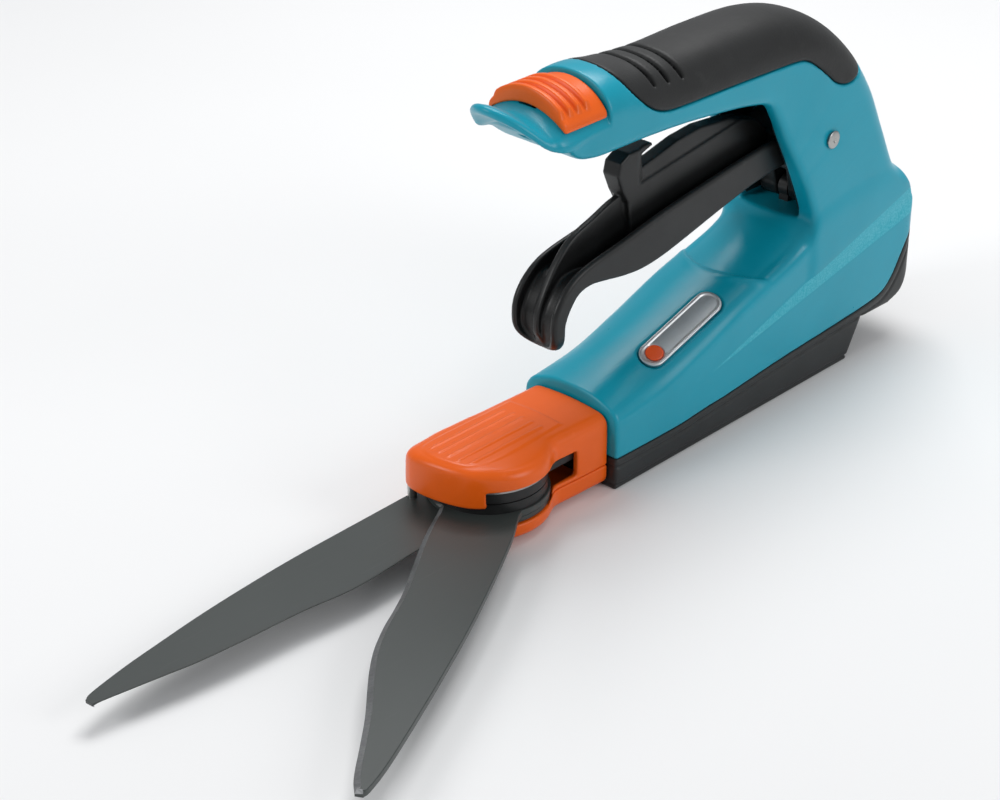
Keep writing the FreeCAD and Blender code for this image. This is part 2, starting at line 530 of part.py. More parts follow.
FAR_SIDE = [(0.4, -16.5), (26, -17.5), (44, -18.6), (56.4, -17.8), (59.6, -16.2), (61.0, -13), (70, -13), (70, 40), (-5, 40), (-5, -16.5)]
uc = plan_head(0, EAR_Z, HEAD_TOP).fuse(pxy([(0.4, -16.5), (26, -17.5), (44, -18.6), (44, 0), (0.4, 0)], EAR_Z, HEAD_TOP)).common(pxy(FAR_SIDE, EAR_Z - 1, 40)).removeSplitter()
blk_low = plan_head(0, 14.0, EAR_Z + .5).cut(cyl(EAR_R - .35, (PIV_X, 0, 0), (0, 0, 1), 40)).cut(box(-5, 51.0, -30, 30, 0, 30))
uc = uc.fuse(blk_low)
uc = uc.fuse(box(0.4, 30.0, -HEAD_W, HEAD_W, HEAD_SEAM, EAR_Z + .5)).removeSplitter()
# crowned top: shallow cylinder across the head
R = 90.0
top = cyl(R, (-2, 0, HEAD_TOP - R), (1, 0, 0), 80)
uc = uc.common(top)
ve = [e for e in uc.Edges if e.BoundBox.ZMin > 25.2 and e.BoundBox.XMax > 1.0]
uc2 = try_fillet(uc, ve, 2.6)
uc = uc2
inner = box(4.2, 30.5, -HEAD_W + WALL, HEAD_W - WALL, 0, HEAD_TOP - 2.6)
inner = inner.fuse(cyl(EAR_R - 6.5, (PIV_X, 0, 12), (0, 0, 1), HEAD_TOP - 2.8 - 12))
uc = uc.cut(inner)
uc = uc.cut(box(15.0, 31.0, -30, 30, 10.4, EAR_Z))            # side windows
uc = uc.cut(cyl(EAR_R - .4, (PIV_X, 0, 5), (0, 0, 1), EAR_Z - 5))
uc = uc.cut(cyl(5.4, (-5, 0, HEAD_Z), (1, 0, 0), 12)).cut(cyl(12.7, (0.8, 0, HEAD_Z), (1, 0, 0), 3.3)).cut(cyl(9.6, (0, 0, HEAD_Z), (1, 0, 0), 3))
# ribs on the top panel
ribs = []
for k in range(5):
    y = (k - 2) * 3.95
    xr0, xr1 = (21.0, 54.5)
    t = box(xr0, xr1, y - .55, y + .55, 20, 40).common(cyl(R + .35, (-2, 0, HEAD_TOP - R), (1, 0, 0), 80)).cut(cyl(R - .6, (-2, 0, HEAD_TOP - R), (1, 0, 0), 80))
    ribs.append(t)
for t in ribs:
    uc = uc.fuse(t)
lc = plan_head(0, HEAD_BOT, 7.0, front=False).fuse(box(0.4, 30.0, -HEAD_W, HEAD_W, HEAD_BOT, HEAD_SEAM)).removeSplitter()
le = [e for e in lc.Edges if e.BoundBox.ZMax < HEAD_BOT + .01 and e.BoundBox.XMax > 1.0]
lc = try_fillet(lc, le, 1.6)
lc = lc.cut(cyl(20.0, (PIV_X, 0, 7.0), (0, 0, 1), 10))
lc = lc.cut(box(4.2, 29.0, -HEAD_W + WALL, HEAD_W - WALL, 3.4, 12))
lc = lc.cut(cyl(5.4, (-5, 0, HEAD_Z), (1, 0, 0), 12)).cut(cyl(12.7, (0.8, 0, HEAD_Z), (1, 0, 0), 3.3)).cut(cyl(9.6, (0, 0, HEAD_Z), (1, 0, 0), 3))
lc = lc.cut(cyl(5.0, (PIV_X, 0, -2), (0, 0, 1), 20)).cut(cyl(8.4, (PIV_X, 0, -2), (0, 0, 1), 6.6))
# screw bosses inside the box part and head screws
hscrew = []
for x, y in [(7.0, 11.4), (7.0, -11.4)]:
    lc = lc.fuse(cyl(2.4, (x, y, 3.0), (0, 0, 1), 6.2)).cut(cyl(1.35, (x, y, 0), (0, 0, 1), 20)).cut(cyl(2.2, (x, y, 0), (0, 0, 1), 3.0))
    uc = uc.fuse(cyl(2.4, (x, y, 9.3), (0, 0, 1), 16.0)).cut(cyl(1.3, (x, y, 9.0), (0, 0, 1), 10))
    hscrew.append(fuse(cyl(2.1, (x, y, 1.3), (0, 0, 1), 1.6), cyl(1.3, (x, y, 2.8), (0, 0, 1), 13.0)).cut(box(x - 2, x + 2, y - .3, y + .3, 1, 2)))
lc = lc.removeSplitter()
uc = uc.removeSplitter()
for nm, s in (("uc", uc), ("lc", lc)):
    if len(s.Solids) > 1:
        print(nm, "solids", [round(q.Volume, 2) for q in s.Solids])
uc = max(uc.Solids, key=lambda s: s.Volume)
lc = max(lc.Solids, key=lambda s: s.Volume)
add("head_screws", Part.makeCompound(hscrew))

# ---------------------------------------------------------------- blades (u along the blade from the pivot, v across)
FIX = [(17, -16.0), (40, -15.6), (68, -15.0), (90, -13.6), (108, -11.9), (125, -9.6), (138.4, -7.6), (152.4, -4.7), (156.2, -3.0),
       (156.2, 0.0), (148.3, 1.3), (133, 3.9), (122.9, 5.6), (107.7, 6.9), (94, 7.6), (84, 8.3), (72, 10.0), (62.1, 10.3), (52, 9.7), (39.9, 9.0), (26, 9.4), (17, 10.5)]
MOV = [(16.5, 13.5), (31, 14.2), (54, 13.7), (77, 12.6), (99, 10.8), (121, 8.6), (143, 6.0), (154, 3.9), (157.2, 2.6), (157.2, 0.3),
       (150, -1.9), (137, -3.9), (124, -6.0), (111, -8.9), (102, -10.7), (93, -11.9), (82, -12.1), (73, -11.5), (63, -11.2), (50.6, -11.8), (38, -12.4), (27, -12.4), (15.6, -11.7)]


def blade(pts, z0, z1, i_tip0, i_tip1):
    """Flat blade: smooth side edges, straight blunt tip."""
    s = sxy([("S", pts[:i_tip0 + 1]), ("L", pts[i_tip0:i_tip1 + 1]), ("S", pts[i_tip1:]), ("L", [pts[-1], pts[0]])], z0, z1)
    return s


fixb = blade(FIX, FIX_Z0, FIX_Z1, 8, 9)
fixb = fixb.fuse(cyl(19.6, (0, 0, FIX_Z0), (0, 0, 1), FIX_Z1 - FIX_Z0)).fuse(box(-21, 0, -12, 12, FIX_Z0, FIX_Z1))
fixb.translate(V(PIV_X, 0, 0))
fixb = fixb.cut(cyl(PIV_R, (PIV_X, 0, 0), (0, 0, 1), 30)).removeSplitter()
movb = blade(MOV, MOV_Z0, MOV_Z1, 8, 9)
movb = movb.fuse(cyl(19.8, (0, 0, MOV_Z0), (0, 0, 1), MOV_Z1 - MOV_Z0))
movb = movb.cut(cyl(PIV_R + .05, (0, 0, 0), (0, 0, 1), 30)).removeSplitter()


def open_rot(s):
    s.rotate(V(0, 0, 0), V(0, 0, 1), OPEN_DEG)
    s.translate(V(PIV_X, 0, 0))
    return s


movb = open_rot(movb)
add("fixed_blade", fixb)
add("moving_blade", movb)
hubd = cyl(18.9, (PIV_X, 0, MOV_Z1), (0, 0, 1), 3.4).cut(cyl(PIV_R + .06, (PIV_X, 0, 0), (0, 0, 1), 30))
HUB_TOP = MOV_Z1 + 3.4
add("hub_disc", hubd)
CA = math.radians(90 + OPEN_DEG / 2)
PX, PY = PIV_X + CRANK_R * math.cos(CA), CRANK_R * math.sin(CA)
add("crank_pin", cyl(2.0, (PX, PY, HUB_TOP), (0, 0, 1), 3.2))
GP0, GP1 = 15.0, 18.5
gp = cyl(18.9, (PIV_X, 0, GP0), (0, 0, 1), GP1 - GP0).cut(cyl(PIV_R, (PIV_X, 0, 0), (0, 0, 1), 30))
gp = gp.cut(box(10, PX + STROKE + 5.6, 5.6, 14.8, 14, 18.0))
add("guide_plate", gp.removeSplitter())
add("spring_washer", tube(19.2, 9.0, (PIV_X, 0, GP1 + .05), (0, 0, 1), 0.8))
bolt = cyl(PIV_R, (PIV_X, 0, 5.2), (0, 0, 1), EAR_Z - 5.2).fuse(cyl(8.6, (PIV_X, 0, EAR_Z), (0, 0, 1), 3.4)).fuse(cyl(3.0, (PIV_X, 0, 1.9), (0, 0, 1), 3.4))
bolt = bolt.removeSplitter()
add("pivot_bolt", bolt)
hexa = [(PIV_X + 6.6 * math.cos(math.radians(60 * k)), 6.6 * math.sin(math.radians(60 * k))) for k in range(6)]
nut = pxy(hexa, 1.6, 4.5).cut(cyl(3.0, (PIV_X, 0, 0), (0, 0, 1), 10))
add("pivot_nut", nut)
add("stop_post", cyl(1.5, (PIV_X + 19.4, -14.2, FIX_Z1), (0, 0, 1), 5.0))
# crosshead: socket block for the plunger's button and an offset plate with the crank slot
ch = box(5.0, 11.6, -7.6, 7.6, HEAD_Z - 5.0, HEAD_Z + 5.0)
ch = ch.fuse(pxy([(6.0, 6.2), (PX + 4.6, 6.2), (PX + 4.6, 13.8), (9.9, 13.8), (9.9, 8.6), (6.0, 8.6)], 15.3, 17.6))
ch = ch.cut(cyl(4.8, (7.1, 0, HEAD_Z), (1, 0, 0), 2.7)).cut(cyl(2.8, (0, 0, HEAD_Z), (1, 0, 0), 8))
ch = ch.cut(box(PX - 2.06, PX + 2.06, PY - 2.4, 14.6, 14, 20)).removeSplitter()
# mouth so that the button drops in from above
ch = ch.cut(box(7.1, 9.8, -4.8, 4.8, HEAD_Z, 30)).cut(box(0, 7.2, -2.8, 2.8, HEAD_Z, 30))
add("crosshead", ch)
uc = uc.cut(cyl(8.7, (PIV_X, 0, EAR_Z - 1), (0, 0, 1), 5.0))
add("head_upper_cover", uc)
add("head_lower_cover", lc)
for name, s in SHAPES.items():
    t = s.copy()
    t.translate(V(FOOT_MID, 0, 0))
    ok = t.isValid()
    print("%-18s solids %d vol %9.1f valid %s" % (name, len(t.Solids), t.Volume, ok))
    t.exportStep("parts/%s.step" % name)
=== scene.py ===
import json
import math

import bmesh
import bpy
import numpy as np
from mathutils import Matrix, Vector

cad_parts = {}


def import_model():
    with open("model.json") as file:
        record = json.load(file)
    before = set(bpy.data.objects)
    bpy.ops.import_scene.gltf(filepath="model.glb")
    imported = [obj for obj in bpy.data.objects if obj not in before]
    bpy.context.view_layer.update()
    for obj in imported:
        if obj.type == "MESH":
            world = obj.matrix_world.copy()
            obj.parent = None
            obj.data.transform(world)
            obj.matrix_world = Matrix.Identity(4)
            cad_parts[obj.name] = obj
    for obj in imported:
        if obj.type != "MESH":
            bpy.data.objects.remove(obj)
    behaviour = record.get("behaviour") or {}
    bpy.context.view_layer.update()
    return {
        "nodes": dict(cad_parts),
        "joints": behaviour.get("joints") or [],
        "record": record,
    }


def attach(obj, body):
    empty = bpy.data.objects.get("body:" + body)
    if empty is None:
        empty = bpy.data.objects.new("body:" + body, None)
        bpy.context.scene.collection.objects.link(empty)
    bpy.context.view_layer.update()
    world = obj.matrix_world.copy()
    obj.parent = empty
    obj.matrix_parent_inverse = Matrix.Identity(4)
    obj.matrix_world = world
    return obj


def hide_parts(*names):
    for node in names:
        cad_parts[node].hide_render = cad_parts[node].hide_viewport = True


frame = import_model()
FOOT_MID = 62.0      # shapes below are in mm with X = 0 on the base's front face; the frame's origin is 62 mm behind it


# ------------------------------------------------------------------ implicit-surface helpers (mm)
def curve(pts, n=10):
    """Catmull-Rom run through the points."""
    p = np.array(pts, float)
    q = np.vstack([2 * p[0] - p[1], p, 2 * p[-1] - p[-2]])
    out = []
    for i in range(len(p) - 1):
        a, b, c, d = q[i], q[i + 1], q[i + 2], q[i + 3]
        for t in np.arange(n) / n:
            out.append(.5 * (2 * b + (c - a) * t + (2 * a - 5 * b + 4 * c - d) * t * t + (3 * b - a - 3 * c + d) * t ** 3))
    out.append(p[-1])
    return [tuple(v) for v in out]


def sd_poly(X, Y, poly, attr=None):
    """Signed distance to a closed polygon, negative inside."""
    P = np.array(poly, float)
    d = np.full(X.shape, 1e18)
    s = np.zeros(X.shape, bool)
    at = np.zeros(X.shape) if attr is not None else None
    n = len(P)
    for i in range(n):
        a, b = P[i], P[(i + 1) % n]
        ex, ey = b - a
        L = ex * ex + ey * ey
        if L < 1e-12:
            continue
        wx, wy = X - a[0], Y - a[1]
        t = np.clip((wx * ex + wy * ey) / L, 0, 1)
        dd = (wx - t * ex) ** 2 + (wy - t * ey) ** 2
        if attr is not None:
            m = dd < d
            at = np.where(m, attr[i] + (attr[(i + 1) % n] - attr[i]) * t, at)
        d = np.minimum(d, dd)
        c = (a[1] <= Y) != (b[1] <= Y)
        if abs(ey) > 1e-12:
            s ^= c & (X < a[0] + wy * (ex / ey))
    d = np.sqrt(d) * np.where(s, -1, 1)
    return (d, at) if attr is not None else d


class Tab:
    """2-D field in a table, read back with bilinear interpolation."""
    def __init__(self, lo, hi, fn, h=0.4):
        self.lo, self.h = lo, h
        x = np.arange(lo[0], hi[0] + h, h)
        y = np.arange(lo[1], hi[1] + h, h)
        self.v = fn(*np.meshgrid(x, y, indexing="ij"))

    def __call__(self, x, y):
        u = np.clip((x - self.lo[0]) / self.h, 0, self.v.shape[0] - 1.001)
        v = np.clip((y - self.lo[1]) / self.h, 0, self.v.shape[1] - 1.001)
        u, v = np.broadcast_arrays(u, v)
        i, j = u.astype(int), v.astype(int)
        a, b = u - i, v - j
        T = self.v
        return (T[i, j] * (1 - a) * (1 - b) + T[i + 1, j] * a * (1 - b) + T[i, j + 1] * (1 - a) * b + T[i + 1, j + 1] * a * b)


def smin(a, b, k):
    h = np.maximum(k - np.abs(a - b), 0) / k
    return np.minimum(a, b) - h * h * k * .25


def smax(a, b, k):
    return -smin(-a, -b, k)


def sbox(x, y, z, x0, x1, y0, y1, z0, z1, k=0.8):
    f = smax(np.abs(x - (x0 + x1) / 2) - (x1 - x0) / 2, np.abs(y - (y0 + y1) / 2) - (y1 - y0) / 2, k)
    return smax(f, np.abs(z - (z0 + z1) / 2) - (z1 - z0) / 2, k)


def step(a, b, x):
    t = np.clip((x - a) / (b - a), 0, 1)
    return t * t * (3 - 2 * t)


EDGES = [((0, 0, 0), (1, 0, 0)), ((0, 1, 0), (1, 1, 0)), ((0, 0, 1), (1, 0, 1)), ((0, 1, 1), (1, 1, 1)),
         ((0, 0, 0), (0, 1, 0)), ((1, 0, 0), (1, 1, 0)), ((0, 0, 1), (0, 1, 1)), ((1, 0, 1), (1, 1, 1)),
         ((0, 0, 0), (0, 0, 1)), ((1, 0, 0), (1, 0, 1)), ((0, 1, 0), (0, 1, 1)), ((1, 1, 0), (1, 1, 1))]


def nets(f, lo, hi, h):
    """Surface nets over f < 0, then each vertex is pulled onto the surface."""
    ax = [np.arange(lo[i] - 2 * h, hi[i] + 3 * h, h) for i in range(3)]
    F = f(ax[0][:, None, None], ax[1][None, :, None], ax[2][None, None, :])
    F = np.ascontiguousarray(np.broadcast_to(F, tuple(len(a) for a in ax)), dtype=np.float32)
    S = F < 0
    n = [len(a) - 1 for a in ax]
    cnt = np.zeros(n, np.int8)
    for c in np.ndindex(2, 2, 2):
        cnt += S[c[0]:c[0] + n[0], c[1]:c[1] + n[1], c[2]:c[2] + n[2]]
    act = (cnt > 0) & (cnt < 8)
    idx = np.full(n, -1, np.int64)
    ijk = np.argwhere(act)
    idx[act] = np.arange(len(ijk))
    acc = np.zeros((len(ijk), 3))
    num = np.zeros(len(ijk))
    for a, b in EDGES:
        A = F[ijk[:, 0] + a[0], ijk[:, 1] + a[1], ijk[:, 2] + a[2]].astype(float)
        B = F[ijk[:, 0] + b[0], ijk[:, 1] + b[1], ijk[:, 2] + b[2]].astype(float)
        m = (A < 0) != (B < 0)
        t = np.where(m, A / np.where(A == B, 1, A - B), 0)
        pa, pb = np.array(a, float), np.array(b, float)
        acc += np.where(m[:, None], pa + t[:, None] * (pb - pa), 0)
        num += m
    V = (ijk + acc / num[:, None]) * h + np.array([a[0] for a in ax])
    quads = []
    for k in range(3):
        o = [i for i in range(3) if i != k]
        s0 = [slice(None)] * 3
        s1 = [slice(None)] * 3
        s0[k] = slice(0, n[k])
        s1[k] = slice(1, n[k] + 1)
        for q in o:
            s0[q] = slice(1, n[q])
            s1[q] = slice(1, n[q])
        A, B = S[tuple(s0)], S[tuple(s1)]
        e = np.argwhere(A != B)
        up = A[tuple(e.T)]
        base = e.copy()
        base[:, o[0]] += 1
        base[:, o[1]] += 1
        q = []
        for d0, d1 in ((-1, -1), (0, -1), (0, 0), (-1, 0)):
            c = base.copy()
            c[:, o[0]] += d0
            c[:, o[1]] += d1
            q.append(idx[tuple(c.T)])
        q = np.array(q).T
        flip = up if k != 1 else ~up
        q[~flip] = q[~flip][:, ::-1]
        quads.append(q)
    Q = np.vstack(quads)
    Q = Q[(Q >= 0).all(1)]
    e = 0.04
    for _ in range(2):
        x, y, z = V.T
        v = f(x, y, z)
        g = np.array([f(x + e, y, z) - v, f(x, y + e, z) - v, f(x, y, z + e) - v]).T / e
        s = -v / np.maximum((g * g).sum(1), .2)
        d = g * s[:, None]
        L = np.linalg.norm(d, axis=1)
        d *= np.minimum(1, .45 * h / np.maximum(L, 1e-9))[:, None]
        V = V + d
    return V, Q


def mesh_piece(name, V, faces, body, slot, nodes=(), smooth=True):
    me = bpy.data.meshes.new(name)
    W = (np.asarray(V, float) + np.array([FOOT_MID, 0, 0])) / 1000
    me.from_pydata(W.tolist(), [], [list(map(int, q)) for q in faces])
    me.validate()
    me.update()
    bm = bmesh.new()
    bm.from_mesh(me)
    bmesh.ops.recalc_face_normals(bm, faces=bm.faces)
    bm.to_mesh(me)
    bm.free()
    if smooth:
        me.polygons.foreach_set("use_smooth", [True] * len(me.polygons))
    o = bpy.data.objects.new(name, me)
    bpy.context.scene.collection.objects.link(o)
    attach(o, body)
    if nodes:
        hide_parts(*nodes)
    o.data.materials.append(MAT[slot])
    return o


def net_piece(name, f, lo, hi, h, body, slot, nodes=()):
    V, Q = nets(f, lo, hi, h)
    print(name, len(V), len(Q))
    return mesh_piece(name, V, Q, body, slot, nodes)


# ------------------------------------------------------------------ materials
MAT = {}


class Nodes:
    def __init__(self, name):
        self.m = bpy.data.materials.new(name)
        self.m.use_nodes = True
        self.t = self.m.node_tree
        self.bsdf = self.t.nodes["Principled BSDF"]
        self.tc = self.t.nodes.new("ShaderNodeTexCoord")

    def new(self, kind, **kw):
        n = self.t.nodes.new(kind)
        for k, v in kw.items():
            if k.startswith("in_"):
                n.inputs[k[3:].replace("_", " ")].default_value = v
            else:
                setattr(n, k, v)
        return n

    def link(self, a, b):
        self.t.links.new(a, b)

    def coords(self, scale=(1, 1, 1)):
        mp = self.new("ShaderNodeMapping")
        mp.inputs["Scale"].default_value = scale
        self.link(self.tc.outputs["Object"], mp.inputs["Vector"])
        return mp.outputs["Vector"]

    def noise(self, scale, detail=4, rough=.55, vec=None, dist=0.0):
        n = self.new("ShaderNodeTexNoise")
        n.inputs["Scale"].default_value = scale
        n.inputs["Detail"].default_value = detail
        n.inputs["Roughness"].default_value = rough
        n.inputs["Distortion"].default_value = dist
        self.link(vec if vec is not None else self.tc.outputs["Object"], n.inputs["Vector"])
        return n.outputs["Fac"]

    def voronoi(self, scale, vec=None, feature="F1"):
        n = self.new("ShaderNodeTexVoronoi", feature=feature)
        n.inputs["Scale"].default_value = scale
        self.link(vec if vec is not None else self.tc.outputs["Object"], n.inputs["Vector"])
        return n.outputs["Distance"]

    def ramp(self, fac, stops):
        r = self.new("ShaderNodeValToRGB")
        els = r.color_ramp.elements
        while len(els) < len(stops):
            els.new(.5)
        for e, (p, c) in zip(els, stops):
            e.position = p
            e.color = c if len(c) == 4 else (*c, 1)
        self.link(fac, r.inputs["Fac"])
        return r.outputs["Color"]

    def math(self, op, a, b=None, clamp=False):
        n = self.new("ShaderNodeMath", operation=op, use_clamp=clamp)
        for s, v in zip(n.inputs, (a, b)):
            if v is None:
                continue
            if isinstance(v, (int, float)):
                s.default_value = v
            else:
                self.link(v, s)
        return n.outputs[0]

    def mix(self, fac, a, b, mode="MIX"):
        n = self.new("ShaderNodeMix", data_type="RGBA", blend_type=mode)
        for s, v in ((n.inputs[0], fac), (n.inputs[6], a), (n.inputs[7], b)):
            if isinstance(v, (int, float)):
                s.default_value = v
            elif isinstance(v, tuple):
                s.default_value = v if len(v) == 4 else (*v, 1)
            else:
                self.link(v, s)
        return n.outputs[2]

    def edge(self, size=0.0015, lo=.5, hi=.62):
        """Convex-edge mask from Pointiness."""
        g = self.new("ShaderNodeNewGeometry")
        return self.ramp(g.outputs["Pointiness"], [(lo, (0, 0, 0)), (hi, (1, 1, 1))])

    def bump(self, h, strength, dist, prev=None):
        b = self.new("ShaderNodeBump")
        b.inputs["Strength"].default_value = strength
        b.inputs["Distance"].default_value = dist
        self.link(h, b.inputs["Height"])
        if prev is not None:
            self.link(prev, b.inputs["Normal"])
        return b.outputs["Normal"]

    def out(self, color=None, rough=None, normal=None, **consts):
        i = self.bsdf.inputs
        if color is not None:
            self.link(color, i["Base Color"])
        if rough is not None:
            self.link(rough, i["Roughness"])
        if normal is not None:
            self.link(normal, i["Normal"])
        for k, v in consts.items():
            i[k.replace("_", " ")].default_value = v
        return self.m


def plastic(name, base, rough=.34, grain=2600, gstr=.25, var=.08, wear=.10, spec=.36, coat=0.0, panel=False):
    """Moulded plastic: spark-eroded grain, faint flow marks, rubbed edges, a little dust and hairline scratches."""
    n = Nodes(name)
    b = np.array(base)
    dark, light = tuple(b * (1 - var)), tuple(np.minimum(b * (1 + var) + .004, 1))
    flow = n.noise(38, 3, .5, n.coords((1, 1.6, 1)), .4)
    col = n.ramp(flow, [(.3, dark), (.7, light)])
    edge = n.edge(lo=.508, hi=.56)
    worn = n.math("MULTIPLY", edge, n.noise(240, 5, .65))
    col = n.mix(n.math("MULTIPLY", worn, wear * 3, True), col, tuple(np.minimum(b * 1.25 + .05, 1)))
    speck = n.ramp(n.noise(900, 2, .5), [(.60, (0, 0, 0)), (.72, (1, 1, 1))])
    col = n.mix(n.math("MULTIPLY", speck, .05), col, tuple(np.minimum(b * 1.2 + .03, 1)))
    r0 = n.noise(120, 4, .6)
    scr = n.noise(420, 3, .6, n.coords((.25, 1.0, 3.5)), .2)
    rough_v = n.math("ADD", n.math("MULTIPLY", r0, .12), rough - .06)
    rough_v = n.math("ADD", rough_v, n.math("MULTIPLY", n.math("GREATER_THAN", scr, .71), .10), True)
    if panel:
        # the long wedge facet on each flank is moulded with a coarse texture; its paler tone is partly that texture and
        # partly a painted highlight for the light the facet catches
        sep = n.new("ShaderNodeSeparateXYZ")
        n.link(n.tc.outputs["Object"], sep.inputs[0])
        t = n.math("SUBTRACT", .025, sep.outputs[0])
        lo = n.math("SUBTRACT", sep.outputs[2], n.math("ADD", n.math("MULTIPLY", t, .195), .0222))
        hi = n.math("SUBTRACT", n.math("ADD", n.math("MULTIPLY", t, .297), .0213), sep.outputs[2])
        far = n.math("SUBTRACT", n.math("ABSOLUTE", sep.outputs[1]), .0125)
        mask = n.math("MULTIPLY", n.math("MINIMUM", n.math("MINIMUM", lo, hi), far), 3500.0, True)
        # lighter teal flecks on the facet: coarse grain plus painted highlight
        facet_grain_and_highlight = n.ramp(n.noise(1500, 3, .8), [(.42, (.018, .40, .50)), (.62, (.13, .56, .66))])
        col = n.mix(n.math("MULTIPLY", mask, .62), col, facet_grain_and_highlight)
        rough_v = n.math("ADD", rough_v, n.math("MULTIPLY", mask, .22), True)
    g = n.noise(grain, 3, .7)
    nm = n.bump(g, gstr, .00006)
    nm = n.bump(n.noise(26, 2, .4), .12, .0004, nm)
    m = n.out(col, rough_v, nm)
    n.bsdf.inputs["Specular IOR Level"].default_value = spec
    n.bsdf.inputs["IOR"].default_value = 1.49
    n.bsdf.inputs["Coat Weight"].default_value = coat
    n.bsdf.inputs["Coat Roughness"].default_value = .25
    return m


def soft_grip(name):
    """Soft-touch overmould: matte, fine leathery cell, dulled where the hand rubs."""
    n = Nodes(name)
    col = n.ramp(n.noise(60, 4, .6), [(.3, (.0065, .007, .007)), (.75, (.012, .0128, .013))])
    dust = n.ramp(n.noise(160, 6, .7), [(.58, (0, 0, 0)), (.8, (1, 1, 1))])
    col = n.mix(n.math("MULTIPLY", dust, .10), col, (.10, .10, .10))
    r = n.math("ADD", n.math("MULTIPLY", n.noise(90, 4, .6), .18), .42)
    cell = n.voronoi(1500)
    fine = n.noise(3200, 3, .7)
    nm = n.bump(cell, .30, .00008)
    nm = n.bump(fine, .22, .00005, nm)
    m = n.out(col, r, nm)
    n.bsdf.inputs["Specular IOR Level"].default_value = .32
    n.bsdf.inputs["Sheen Weight"].default_value = .05
    n.bsdf.inputs["Sheen Roughness"].default_value = .5
    return m


def metal(name, base, rough=.28, brush=(1, 1, 60), scale=300, var=.12):
    n = Nodes(name)
    b = np.array(base)
    br = n.noise(scale, 4, .65, n.coords(brush))
    col = n.ramp(n.noise(80, 4, .6), [(.3, tuple(b * (1 - var))), (.7, tuple(np.minimum(b * (1 + var), 1)))])
    stain = n.ramp(n.noise(45, 6, .7), [(.55, (0, 0, 0)), (.78, (1, 1, 1))])
    col = n.mix(n.math("MULTIPLY", stain, .22), col, tuple(b * .55))
    r = n.math("ADD", n.math("MULTIPLY", br, .20), rough - .08)
    nm = n.bump(br, .22, .00003)
    nm = n.bump(n.noise(1800, 2, .6), .08, .00003, nm)
    m = n.out(col, r, nm)
    n.bsdf.inputs["Metallic"].default_value = 1.0
    return m


def blade_mat(name, base=(.036, .043, .041)):
    """Dark non-stick coating over spring steel: faint mottling, rub marks along the blade, chips near the edge."""
    n = Nodes(name)
    b = np.array(base)
    cloud = n.noise(14, 3, .5, n.coords((1, 1, 1)), .3)
    col = n.ramp(cloud, [(.25, tuple(b * .93)), (.75, tuple(b * 1.08))])
    rub = n.noise(900, 3, .55, n.coords((.05, 1.0, 1.0)), .1)
    streak = n.ramp(rub, [(.60, (0, 0, 0)), (.80, (1, 1, 1))])
    col = n.mix(n.math("MULTIPLY", streak, .10), col, (.11, .115, .115))
    chip = n.ramp(n.noise(700, 3, .6), [(.74, (0, 0, 0)), (.80, (1, 1, 1))])
    col = n.mix(n.math("MULTIPLY", chip, .25), col, (.16, .16, .16))
    r = n.math("ADD", n.math("MULTIPLY", n.noise(60, 3, .5), .08), .36)
    r = n.math("SUBTRACT", r, n.math("MULTIPLY", streak, .05))
    nm = n.bump(n.noise(2600, 2, .5), .12, .00004)
    nm = n.bump(rub, .06, .00003, nm)
    m = n.out(col, r, nm)
    n.bsdf.inputs["Specular IOR Level"].default_value = .5
    return m


def ground_mat(name):
    """Ground cutting bevel: bright steel with cross-grinding lines, dulled in places."""
    n = Nodes(name)
    ln = n.noise(1500, 3, .6, n.coords((1.0, .08, .5)), .1)
    col = n.ramp(ln, [(.3, (.20, .205, .21)), (.7, (.30, .305, .31))])
    dull = n.ramp(n.noise(90, 4, .6), [(.45, (0, 0, 0)), (.7, (1, 1, 1))])
    col = n.mix(n.math("MULTIPLY", dull, .45), col, (.10, .10, .10))
    r = n.math("ADD", n.math("MULTIPLY", ln, .2), .26)
    m = n.out(col, r, n.bump(ln, .2, .00003))
    n.bsdf.inputs["Metallic"].default_value = .9
    return m


TEAL = (.0, .300, .412)
ORANGE = (.84, .118, .002)
MAT["teal_plastic"] = plastic("teal_plastic", TEAL, .30, 2400, .22, .035, .05, panel=True)
MAT["dark_base"] = plastic("dark_base", (.017, .0185, .019), .42, 1800, .35, .12, .10)
MAT["soft_grip"] = soft_grip("soft_grip")
MAT["badge_silver"] = metal("badge_silver", (.62, .63, .64), .34, (60, 1, 1), 260, .06)
MAT["badge_orange"] = plastic("badge_orange", (.80, .09, .01), .22, 2600, .1, .05, .05, coat=.4)
MAT["steel"] = metal("steel", (.40, .40, .39), .28)
MAT["white_plastic"] = plastic("white_plastic", (.62, .62, .58), .40, 2200, .2, .05, .05)
MAT["spring_steel"] = metal("spring_steel", (.36, .36, .37), .30)
MAT["screw_steel"] = metal("screw_steel", (.48, .48, .48), .32)
MAT["trigger_black"] = plastic("trigger_black", (.0062, .0068, .007), .38, 1900, .35, .15, .10)
MAT["orange_plastic"] = plastic("orange_plastic", ORANGE, .32, 2400, .22, .04, .08)
MAT["blade_steel"] = blade_mat("blade_steel")
MAT["ground_edge"] = ground_mat("ground_edge")
slots = {s["node"]: s["material_slot"] for s in frame["record"]["subparts"]}
for node, o in frame["nodes"].items():
    o.data.materials.clear()
    o.data.materials.append(MAT[slots[node]])

